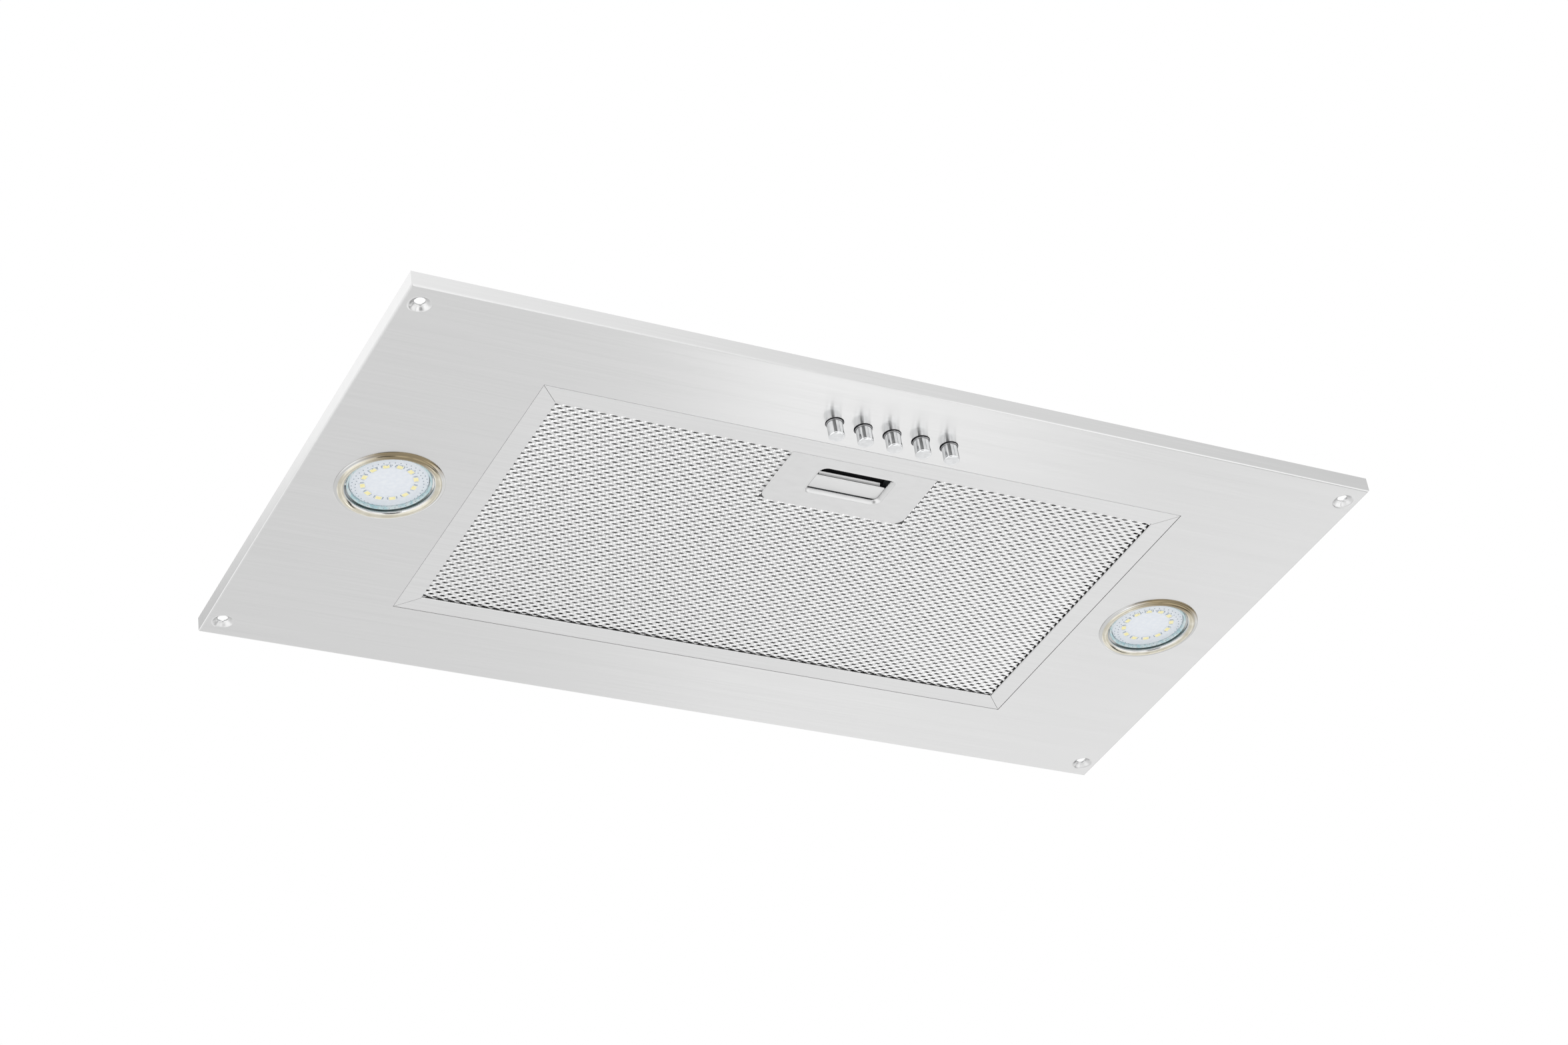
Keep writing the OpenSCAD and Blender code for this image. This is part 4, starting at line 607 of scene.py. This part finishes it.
def expanded_mesh(name, z, flip):
    """One layer of the mesh about the height z; flip turns its lean and its wave over."""
    drop_selection()
    rows = int(2 * MESH_Y / MESH_ROW)
    count = int(2 * MESH_X / MESH_LONG)
    bpy.ops.mesh.primitive_cube_add(size=1)
    piece = start_piece(name)
    # The strand's first section: a slanted bar end, kept as its one face and pulled along the wave
    pick("faces", lambda c, n: n.x > 0.5)
    bpy.ops.mesh.select_all(action="INVERT")
    bpy.ops.mesh.delete(type="FACE")
    bpy.ops.mesh.select_all(action="SELECT")
    bpy.ops.transform.translate(value=(-0.5, 0, 0))
    bpy.ops.transform.resize(value=(1, STRAND, STRAND_T), center_override=(0, 0, 0))
    bpy.ops.transform.rotate(value=LEAN * flip, orient_axis="X", center_override=(0, 0, 0))
    bpy.ops.transform.translate(value=(0, -WAVE, WAVE_Z * flip))
    steps = [(KNUCKLE, 0, 0), (MESH_LONG / 2 - KNUCKLE, 2 * WAVE, -2 * WAVE_Z * flip), (KNUCKLE, 0, 0),
             (MESH_LONG / 2 - KNUCKLE, -2 * WAVE, 2 * WAVE_Z * flip)]
    for step in steps:
        end = max(v.co.x for v in bmesh.from_edit_mesh(piece.data).verts)
        pick("faces", lambda c, n: c.x > end - 1e-6)
        bpy.ops.mesh.extrude_region_move(TRANSFORM_OT_translate={"value": step})
    pick("faces", lambda c, n: abs(n.x) > 0.95)
    bpy.ops.mesh.delete(type="FACE")
    bpy.ops.object.mode_set(mode="OBJECT")
    modify(piece, "ARRAY", count=count, use_relative_offset=False, use_constant_offset=True,
           constant_offset_displace=(MESH_LONG, 0, 0), use_merge_vertices=True, merge_threshold=0.00001)
    piece = join([piece, copied(piece, MESH_LONG / 2, MESH_ROW)], name)
    modify(piece, "ARRAY", count=rows // 2 + 1, use_relative_offset=False, use_constant_offset=True,
           constant_offset_displace=(0, 2 * MESH_ROW, 0))
    take(piece)
    bpy.ops.transform.translate(value=(-(count + 0.5) * MESH_LONG / 2, -rows * MESH_ROW / 2 - ROW_SHIFT, z))
    bpy.ops.object.transform_apply()
    bpy.ops.object.mode_set(mode="EDIT")
    for co, no in (((MESH_X, 0, 0), (1, 0, 0)), ((-MESH_X, 0, 0), (-1, 0, 0)),
                   ((0, MESH_Y, 0), (0, 1, 0)), ((0, -MESH_Y, 0), (0, -1, 0))):
        bpy.ops.mesh.select_all(action="SELECT")
        bpy.ops.mesh.bisect(plane_co=co, plane_no=no, clear_outer=True, use_fill=False)
    # The latch takes its place out of the mesh
    pick("faces", lambda c, n: abs(c.x) < LATCH_X and c.y < LATCH_Y)
    bpy.ops.mesh.delete(type="FACE")
    bpy.ops.object.mode_set(mode="OBJECT")
    return piece


mesh_outer = expanded_mesh("filter_mesh_outer", 0.00135, 1)
mesh_inner = expanded_mesh("filter_mesh_inner", 0.0077, -1)
for piece in (mesh_outer, mesh_inner):
    smooth(piece, 30)

# Expanded aluminium: pale, a little lighter and greyer in random patches.
mesh_aluminium = new_material("aluminium_expanded_bright")
mesh_tone = grain(mesh_aluminium, 500.0, 3.0)
surface(mesh_aluminium, {"Metallic": 1.0}, {
    "Base Color": ramp(mesh_aluminium, mesh_tone, [(0.35, "#DADADA"), (0.65, "#EAEAEA")]),
    "Roughness": spread(mesh_aluminium, mesh_tone, 0.20, 0.30)})
dress(mesh_outer, "filter", "mesh", [mesh_aluminium], "filter_mesh_lower")
dress(mesh_inner, "filter", "mesh", [mesh_aluminium], "filter_mesh_upper")

# Latch plate: an 80 by 39 mm aluminium pressing let into the mesh, its edges folded up, its two back
# corners round, with a finger hole whose lip is pressed up round the catch.
PLATE_X, PLATE_Y0, PLATE_Y1, PLATE_Z, PLATE_T, PLATE_TOP = 0.040, -0.08183, -0.0432, 0.0003, 0.0005, 0.0022
HOLE_X, HOLE_Y0, HOLE_Y1, LIP_RUN = 0.0193, -0.0734, -0.0557, 0.00255


def rounded_loop(x, y0, y1, z, corners):
    """A rectangle as one face, its corners rounded to (front left, front right, back left, back right)."""
    drop_selection()
    bpy.ops.mesh.primitive_plane_add(size=1, location=(0, (y0 + y1) / 2, z))
    bpy.context.object.scale = (2 * x, y1 - y0, 1)
    piece = start_piece("loop")
    for radius, sx, sy in zip(corners, (-1, 1, -1, 1), (-1, -1, 1, 1)):
        if radius:
            pick("verts", lambda c: c.x * sx > x - 1e-6 and abs(c.y - (y0, y1)[sy > 0]) < 1e-6)
            bpy.ops.mesh.bevel(offset=radius, segments=10, affect="VERTICES")
    bpy.ops.mesh.select_all(action="SELECT")
    return piece


def step_in(piece, steps):
    """Draws the selected face inwards and to each height in turn, a ring of faces at a time."""
    for inward, height in steps:
        bpy.ops.mesh.inset(thickness=inward, use_even_offset=True)
        now = [f for f in bmesh.from_edit_mesh(piece.data).faces if f.select][0].calc_center_median().z
        bpy.ops.transform.translate(value=(0, 0, height - now))


# The hole's lip: a faint bead round it, then a mouth that rounds upwards
hole = rounded_loop(HOLE_X + LIP_RUN, HOLE_Y0 - LIP_RUN, HOLE_Y1 + LIP_RUN, PLATE_Z,
                    [r + LIP_RUN for r in (0.0030, 0.0014, 0.0018, 0.0030)])
step_in(hole, [(0.00024, 0.00027), (0.00026, 0.00023), (0.00026, 0.00023), (0.00026, 0.00030),
               (0.00030, 0.00048), (0.00030, 0.00075), (0.00028, 0.00105), (0.00025, 0.00136),
               (0.00020, 0.00168), (0.00015, 0.00196), (0.00010, 0.00220), (0.00002, 0.00235)])
bpy.ops.mesh.delete(type="FACE")
bpy.ops.object.mode_set(mode="OBJECT")
# The plate's own edge: a wall folded up with a tight bend
plate = rounded_loop(PLATE_X, PLATE_Y0, PLATE_Y1, PLATE_TOP, (0, 0, 0.0060, 0.0060))
bpy.ops.mesh.extrude_region_move(TRANSFORM_OT_translate={"value": (0, 0, -0.0014)})
step_in(plate, [(0.00003, 0.00060), (0.00009, 0.00044), (0.00014, 0.00034), (0.00016, PLATE_Z),
                (0.00030, PLATE_Z)])
bpy.ops.mesh.delete(type="FACE")
pick("faces", lambda c, n: abs(n.z) > 0.9 and c.z > PLATE_TOP - 0.0002)
bpy.ops.mesh.delete(type="FACE")
bpy.ops.object.mode_set(mode="OBJECT")
latch_plate = join([plate, hole], "latch_pressing")
bpy.ops.object.mode_set(mode="EDIT")
bpy.ops.mesh.select_mode(type="EDGE")
bpy.ops.mesh.select_all(action="DESELECT")
open_mesh = bmesh.from_edit_mesh(latch_plate.data)
for edge in open_mesh.edges:
    if edge.is_boundary and all(abs(v.co.z - PLATE_Z) < 1e-6 for v in edge.verts):
        edge.select_set(True)
bmesh.update_edit_mesh(latch_plate.data)
bpy.ops.mesh.fill()
face_down(latch_plate)
modify(latch_plate, "SOLIDIFY", thickness=PLATE_T, offset=-1)
smooth(latch_plate, 50)
modify(latch_plate, "WEIGHTED_NORMAL", keep_sharp=True, weight=80)

# Aluminium, pressed and satin: smoother than the frame, so the lip's rounds catch soft highlights.
satin_aluminium = new_material("aluminium_satin_pressed")
satin_tone = node(satin_aluminium, "TexNoise", {"Scale": 1.0, "Detail": 4.0},
                  {0: node(satin_aluminium, "Mapping", {"Scale": (120, 260, 260)},
                           {0: node(satin_aluminium, "TexCoord").outputs["Object"]}).outputs[0]})
surface(satin_aluminium, {"Metallic": 1.0}, {
    "Base Color": spread(satin_aluminium, satin_tone.outputs[0], "#D4D4D4", "#D9D9D9"),
    "Roughness": spread(satin_aluminium, satin_tone.outputs[0], 0.35, 0.39)})
dress(latch_plate, "filter", "aluminium", [satin_aluminium], "latch_plate")

# Catch: the finger plate, one strip of aluminium folded up from its flat face and stepped over towards the
# finger, on a moulded black slide, and the aluminium tongue that hooks behind the fascia. The slide's black
# ceiling and a thin black wall behind the finger face are painted shade, dark plastic where the catch's inside
# lies in shadow.
CATCH_X, CATCH_Z, CATCH_TOP, CATCH_T, TONGUE_T = 0.0192, 0.00245, 0.00725, 0.0006, 0.0008
SLIDE_Z0, SLIDE_BACK_Z0 = 0.0067, 0.0034
face_y, back_y, step_y = -0.0661, -0.0566, -0.0792
catch_face = folded_strip("finger_face", [(back_y, CATCH_Z)] + bend_points(
    face_y + 0.0007, CATCH_Z + 0.0007, 0.0007, 180)[::-1] + [(face_y, 0.0032)], -CATCH_X, CATCH_X)
face_down(catch_face)
finger_wall = folded_strip("finger_wall", [
    (face_y, 0.0031), (face_y, 0.00325), (face_y - 0.00028, 0.00380), (face_y - 0.00028, 0.00385),
    (face_y - 0.00082, 0.00460), (face_y - 0.00082, 0.00472)], -0.0176, 0.0164)
face_down(finger_wall)
for strip in (catch_face, finger_wall):
    modify(strip, "SOLIDIFY", thickness=CATCH_T, offset=-1)
# Painted shade: the slide and the thin wall behind the finger face are black so that the inside of the catch
# reads dark.
slide = slab(-CATCH_X, CATCH_X, step_y, face_y + 0.0009, SLIDE_Z0, CATCH_TOP)
painted_shade_backing = slab(-CATCH_X, CATCH_X, face_y + 0.0007, face_y + 0.0013, SLIDE_BACK_Z0, CATCH_TOP)
tongue = folded_strip("tongue", [(step_y, 0.0068), (step_y, CATCH_Z + 0.0003), (step_y - 0.0003, CATCH_Z),
                                 (-0.0930, CATCH_Z), (-0.09315, CATCH_Z + 0.0001)], -0.007, 0.007)
face_down(tongue)
modify(tongue, "SOLIDIFY", thickness=TONGUE_T, offset=-1)
catch = join([catch_face, finger_wall, slide, painted_shade_backing, tongue], "latch_catch")
modify(catch, "BEVEL", width=0.00010, segments=2, limit_method="ANGLE", angle_limit=math.radians(50))
smooth(catch, 20)
dress(catch, "filter_latch", "aluminium", [satin_aluminium, black_abs], "latch_slider",
      which=lambda f: 1 if f.center.z > SLIDE_Z0 - 0.0001
      or (f.center.y > face_y + 0.00065 and f.center.z > SLIDE_BACK_Z0 - 0.0001) else 0)

# Galvanised sheet: the air chamber, its deck, the blower's box and scroll, the duct collar and the
# brackets, folded from zinc-coated steel and spot welded. Their CAD shapes stay.
# Hot-dip zinc: crystals of 8 mm in slightly different greys, with a soft metal gloss.
galvanised = new_material("steel_hot_dip_galvanised")
zinc_place = node(galvanised, "TexCoord").outputs["Object"]
spangle = node(galvanised, "TexVoronoi", {"Scale": 125.0, "feature": "F1"}, {0: zinc_place})
feather = node(galvanised, "TexNoise", {"Scale": 700.0, "Detail": 4.0}, {0: zinc_place})
spangle_grey = node(galvanised, "SeparateColor", {}, {0: spangle.outputs["Color"]})
zinc_mix = node(galvanised, "Mix", {"data_type": "FLOAT", 0: 0.3},
                {2: spangle_grey.outputs[0], 3: feather.outputs[0]})
surface(galvanised, {"Metallic": 0.9}, {
    "Base Color": ramp(galvanised, zinc_mix.outputs[0], [(0.1, "#A9AEB2"), (0.9, "#C6CACD")]),
    "Roughness": ramp(galvanised, zinc_mix.outputs[0], [(0.1, 0.32), (0.9, 0.52)]),
    "Normal": bump(galvanised, feather.outputs[0], 0.15, 0.0001)})


def finish_nodes(material, *names):
    """The CAD nodes keep their shapes and take this material."""
    for name in names:
        cad[name].data.materials.clear()
        cad[name].data.materials.append(material)


finish_nodes(galvanised, "chamber_walls", "blower_deck", "blower_box", "inlet_ring", "scroll_housing",
             "motor_mount", "duct_spigot", "damper_flap_front", "damper_flap_back", "fan_wheel",
             "switch_bracket", "lamp_bracket_left", "lamp_bracket_right", "latch_housing")

# Motor: black-enamelled case, wound stator, sintered bronze bearings and a ground steel shaft, hung on
# three rubber spools.
# Baked enamel over steel: near black, with a fine orange-peel in its gloss.
enamel = new_material("enamel_baked_black")
peel = grain(enamel, 600.0, 2.0)
surface(enamel, {"Roughness": 0.32, "IOR": 1.5}, {
    "Base Color": spread(enamel, peel, "#222325", "#2B2C2F"),
    "Normal": bump(enamel, peel, 0.12, 0.0001)})
finish_nodes(enamel, "motor_can")

# Varnished copper windings between laminations: red-brown, in bands 2 mm apart.
windings = new_material("copper_windings_varnished")
turns = node(windings, "TexWave", {"bands_direction": "Z", "Scale": 160.0, "Distortion": 2.0, "Detail": 2.0},
             {0: node(windings, "TexCoord").outputs["Object"]})
surface(windings, {"Metallic": 0.6, "Roughness": 0.4}, {
    "Base Color": ramp(windings, turns.outputs[0], [(0.1, "#6E3418"), (0.8, "#B4683A")]),
    "Normal": bump(windings, turns.outputs[0], 0.4, 0.0003)})
finish_nodes(windings, "motor_stator")

# Brass and bronze, as turned: warm yellow with fine tool marks.
brass = new_material("brass_turned")
tool_marks = grain(brass, 900.0, 3.0)
surface(brass, {"Metallic": 1.0}, {
    "Base Color": spread(brass, tool_marks, "#C9A052", "#DDB86A"),
    "Roughness": spread(brass, tool_marks, 0.22, 0.34)})
finish_nodes(brass, "motor_bearings", "switch_terminals")

# Nitrile rubber, moulded: black, dull, faintly dusty.
rubber = new_material("rubber_nitrile_moulded")
dust = grain(rubber, 800.0, 3.0)
surface(rubber, {"Roughness": 0.8, "IOR": 1.52}, {
    "Base Color": spread(rubber, dust, "#161616", "#242424")})
finish_nodes(rubber, "motor_grommets")

# Bright steel: the shaft, springs, hinge rod and screws, drawn or ground and thinly zinc plated.
bright_steel = new_material("steel_bright_zinc_plated")
drawn = grain(bright_steel, 500.0, 4.0)
surface(bright_steel, {"Metallic": 1.0}, {
    "Base Color": spread(bright_steel, drawn, "#B9BABD", "#CDCED0"),
    "Roughness": spread(bright_steel, drawn, 0.20, 0.32)})
finish_nodes(bright_steel, "motor_shaft", "damper_rod", "case_screws", "capacitor")


def merged_copy(node_name, name):
    """A copy of a CAD node with its loose triangles merged, left in edit mode."""
    take(cad[node_name])
    bpy.ops.object.duplicate()
    copy = start_piece(name)
    bpy.ops.mesh.select_all(action="SELECT")
    bpy.ops.mesh.remove_doubles(threshold=1e-6)
    return copy


# Return springs: coils of 0.35 and 0.25 mm wire, each listed with the joint that presses it and that joint's
# travel.
for coil_name, body, joint, way, travel in (
        [("button_spring_%d" % i, "hood", "button_%d_press" % i, (0, 0, 1), 0.004) for i in range(1, 6)]
        + [("latch_spring", "filter", "latch_slide", (0, 1, 0), 0.005)]):
    coil = merged_copy(coil_name, coil_name + "_coil")
    bpy.ops.object.mode_set(mode="OBJECT")
    smooth(coil, 50)
    dress(coil, body, "spring_steel", [bright_steel], coil_name)
    points = [v.co for v in coil.data.vertices]
    low, high = [[pick_end(p[k] for p in points) for k in range(3)] for pick_end in (min, max)]
    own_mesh(coil)

# Electrics: moulded boxes for the mains connections and the switches, the lamps' driver and sockets,
# and white PVC leads between them.
finish_nodes(black_abs, "junction_box", "junction_lid", "cable_gland", "switch_body", "switch_lid")

# Polycarbonate, moulded white: the driver's case and the terminals, slightly warm and half matt.
white_case = new_material("polycarbonate_moulded_white")
case_grain = grain(white_case, 1200.0, 3.0)
surface(white_case, {"IOR": 1.58}, {
    "Base Color": spread(white_case, case_grain, "#DEDDD6", "#E9E8E2"),
    "Roughness": spread(white_case, case_grain, 0.42, 0.55),
    "Normal": bump(white_case, case_grain, 0.2, 0.00005)})
finish_nodes(white_case, "led_driver", "terminal_block")

# Steatite ceramic, pressed and fired: chalky cream with small speckles, for bulb bases and sockets.
steatite = new_material("steatite_ceramic_fired")
speckle = grain(steatite, 700.0, 5.0)
surface(steatite, {"IOR": 1.6}, {
    "Base Color": ramp(steatite, speckle, [(0.3, "#D8D2C2"), (0.6, "#EDE8DC")]),
    "Roughness": spread(steatite, speckle, 0.5, 0.7)})
finish_nodes(steatite, "lamp_base_left", "lamp_base_right", "lamp_holder_left", "lamp_holder_right")

# PVC lead, extruded: soft white with a slight sheen and long faint waves.
pvc = new_material("pvc_lead_extruded")
lead_waves = grain(pvc, 300.0, 2.0)
surface(pvc, {"Roughness": 0.45, "IOR": 1.53}, {
    "Base Color": spread(pvc, lead_waves, "#D5D5D1", "#E4E4E0")})
# The bend at the front left is lowered, out of sight behind the rim
FRONT_BEND, LOWERED = (-0.15, -0.095, 0.0420), 0.0025
leads = merged_copy("wiring_loom", "leads")
pick("verts", lambda c: c.x < FRONT_BEND[0] and c.y < FRONT_BEND[1] and c.z > FRONT_BEND[2])
bpy.ops.transform.translate(value=(0, 0, -LOWERED))
bpy.ops.object.mode_set(mode="OBJECT")
smooth(leads, 40)
dress(leads, "hood", "cable", [pvc], "wiring_loom")

# Pleated filter core: layers of knitted aluminium foil, crumpled, bright in patches and dark grey between them:
# partly the foil's own tone, partly painted shade for the filter's depth behind the mesh's slits.
knitted = new_material("aluminium_knitted_foil")
foil_place = node(knitted, "TexCoord").outputs["Object"]
crumple_and_painted_shade = node(knitted, "TexVoronoi", {"Scale": 420.0, "feature": "F1"}, {0: foil_place})
surface(knitted, {"Metallic": 1.0, "Roughness": 0.4}, {
    # Painted shade: the ramp's dark grey end darkens the foil where the core lies deep behind the mesh.
    "Base Color": ramp(knitted, crumple_and_painted_shade.outputs[0], [(0.1, "#8E8E8E"), (0.7, "#CFCFCF")]),
    "Normal": bump(knitted, crumple_and_painted_shade.outputs[0], 0.6, 0.0006)})
finish_nodes(knitted, "filter_core")

# Studio: a pale floor far below, a white surround that metal and glass mirror, soft lamps under and
# beside the hood, three dark flags for the chrome, and the camera that looks up as the photograph does.
FLOOR_Z, FLAG_AWAY = -2.2, 1.2


def combine(tree, operation, a, b):
    return node(tree, "Math", {"operation": operation}, {0: a, 1: b}).outputs[0]


drop_selection()
bpy.ops.mesh.primitive_plane_add(size=24, location=(0, 0, FLOOR_Z))
floor = bpy.context.object
floor.name = "studio_floor"
# Painted floor: pale and matt to the eye. Metal and glass mirror it as if lit: bright in front, greyer at
# the back left, and in steps across that make the fascia lighten from left to right.
pale_floor = new_material("floor_painted_pale")
seen = node(pale_floor, "LightPath")
matt = node(pale_floor, "BsdfDiffuse", {"Color": hex_colour("#E6E6E6")})
spot = node(pale_floor, "SeparateXYZ", {}, {0: node(pale_floor, "TexCoord").outputs["Object"]})
front_pool = combine(pale_floor, "MINIMUM", fade(pale_floor, spot.outputs[1], -0.3, -1.3),
                     fade(pale_floor, spot.outputs[1], -4.8, -3.5))
back_left = combine(pale_floor, "MINIMUM", fade(pale_floor, spot.outputs[1], 1.6, 2.6),
                    fade(pale_floor, spot.outputs[0], 0.2, -0.8))
across = ramp(pale_floor, fade(pale_floor, spot.outputs[0], -3.0, 4.0), [
    (0.143, 1.28), (0.30, 1.18), (0.40, 0.82), (0.55, 0.84), (0.671, 0.89), (0.745, 0.91), (0.785, 1.06),
    (0.82, 1.2), (0.89, 1.2), (0.97, 0.86)])
side_tone = node(pale_floor, "Mix", {"data_type": "FLOAT", 3: 0.80}, {0: back_left, 2: across})
mirror_tone = node(pale_floor, "Mix", {"data_type": "FLOAT", 3: 1.38}, {0: front_pool, 2: side_tone.outputs[0]})
lit = node(pale_floor, "Emission", {"Strength": 1.1}, {0: mirror_tone.outputs[0]})
mirrored = combine(pale_floor, "MAXIMUM", seen.outputs["Is Glossy Ray"], seen.outputs["Is Transmission Ray"])
both = node(pale_floor, "MixShader", {}, {0: mirrored, 1: matt.outputs[0], 2: lit.outputs[0]})
node(pale_floor, "OutputMaterial", {}, {0: both.outputs[0]})
floor.data.materials.append(pale_floor)

# The floor goes on far out, so that no edge of it shows from above; only the eye sees this part
drop_selection()
bpy.ops.mesh.primitive_plane_add(size=160, location=(0, 0, FLOOR_Z - 0.001))
far_floor = bpy.context.object
far_floor.name = "studio_floor_far"
far_floor.visible_glossy = far_floor.visible_diffuse = far_floor.visible_transmission = False
far_floor.data.materials.append(pale_floor)

# Dark flags: cloth screens round the hood that only metal mirrors, as dark lines in the chrome
flag_cloth = new_material("flag_cloth_black")
cloth = node(flag_cloth, "Emission", {"Color": hex_colour("#262626"), "Strength": 1.0})
node(flag_cloth, "OutputMaterial", {}, {0: cloth.outputs[0]})
for name, bearing, width, low, high in (("flag_front", 236, 1.0, -2.15, -0.48),
                                        ("flag_middle", 298, 0.10, -2.15, -0.48),
                                        ("flag_right", 8, 0.36, -1.6, -0.6)):
    angle = math.radians(bearing)
    drop_selection()
    bpy.ops.mesh.primitive_plane_add(
        size=1, rotation=(math.pi / 2, 0, angle + math.pi / 2),
        location=(FLAG_AWAY * math.cos(angle), FLAG_AWAY * math.sin(angle), (low + high) / 2))
    flag = bpy.context.object
    flag.name = name
    flag.scale = (width, high - low, 1)
    flag.visible_camera = flag.visible_diffuse = flag.visible_shadow = flag.visible_transmission = False
    flag.data.materials.append(flag_cloth)

# White surround: plain white to the eye; metal sees it darker to the right, in a band low behind the hood
# and overhead
world = bpy.data.worlds.new("studio_surround")
bpy.context.scene.world = world
world.use_nodes = True
world.node_tree.nodes.clear()
path = node(world, "LightPath")
way = node(world, "SeparateXYZ", {}, {0: node(world, "TexCoord").outputs["Generated"]})
to_right = fade(world, way.outputs[0], 0.30, 0.62, 1.33, 0.82)
band = combine(world, "MULTIPLY", fade(world, way.outputs[2], 0.606, 0.566, 0.0, 0.45),
               fade(world, way.outputs[2], 0.38, 0.48))
band = combine(world, "MULTIPLY", band, fade(world, way.outputs[1], 0.2, 0.4))
to_back = fade(world, band, 0.0, 1.0, 1.0, 0.0)
overhead = fade(world, way.outputs[2], 0.64, 0.84, 1.0, 0.64)
tone = combine(world, "MULTIPLY", combine(world, "MULTIPLY", to_right, to_back), overhead)
direct = combine(world, "MAXIMUM", path.outputs["Is Camera Ray"], path.outputs["Is Transmission Ray"])
soft = node(world, "Background", {"Color": hex_colour("#FFFFFF"), "Strength": 1.08})
in_metal = node(world, "Background", {"Color": hex_colour("#FFFFFF")}, {1: tone})
white = node(world, "Background", {"Color": hex_colour("#FFFFFF"), "Strength": 1.0})
air = node(world, "MixShader", {},
           {0: path.outputs["Is Glossy Ray"], 1: soft.outputs[0], 2: in_metal.outputs[0]})
air = node(world, "MixShader", {}, {0: direct, 1: air.outputs[0], 2: white.outputs[0]})
node(world, "OutputWorld", {}, {0: air.outputs[0]})


def soft_lamp(name, place, turn, size, watts):
    """A square softbox, turned by (tilt, 0, bearing) in degrees."""
    drop_selection()
    bpy.ops.object.light_add(type="AREA", location=place, rotation=[math.radians(a) for a in turn])
    lamp = bpy.context.object
    lamp.name = lamp.data.name = name
    lamp.data.size, lamp.data.energy = size, watts


soft_lamp("lamp_under", (1.25, 1.31, -2.15), (150, 0, 136), 0.55, 1.3)
soft_lamp("lamp_low", (-1.5, -1.8, -1.9), (129, 0, -40), 2.0, 14)
soft_lamp("lamp_front", (-1.6, -2.4, 0.9), (69, 0, -34), 1.6, 9)

camera = bpy.data.objects.new("camera", bpy.data.cameras.new("camera"))
bpy.context.collection.objects.link(camera)
camera.location = (-0.75022, -1.18458, -0.95893)
camera.rotation_euler = [math.radians(a) for a in (125.3638, 7.4121, -27.1207)]
camera.data.lens, camera.data.sensor_width = 77.939, 36.0
bpy.context.scene.camera = camera
bpy.context.scene.view_settings.view_transform = "Standard"
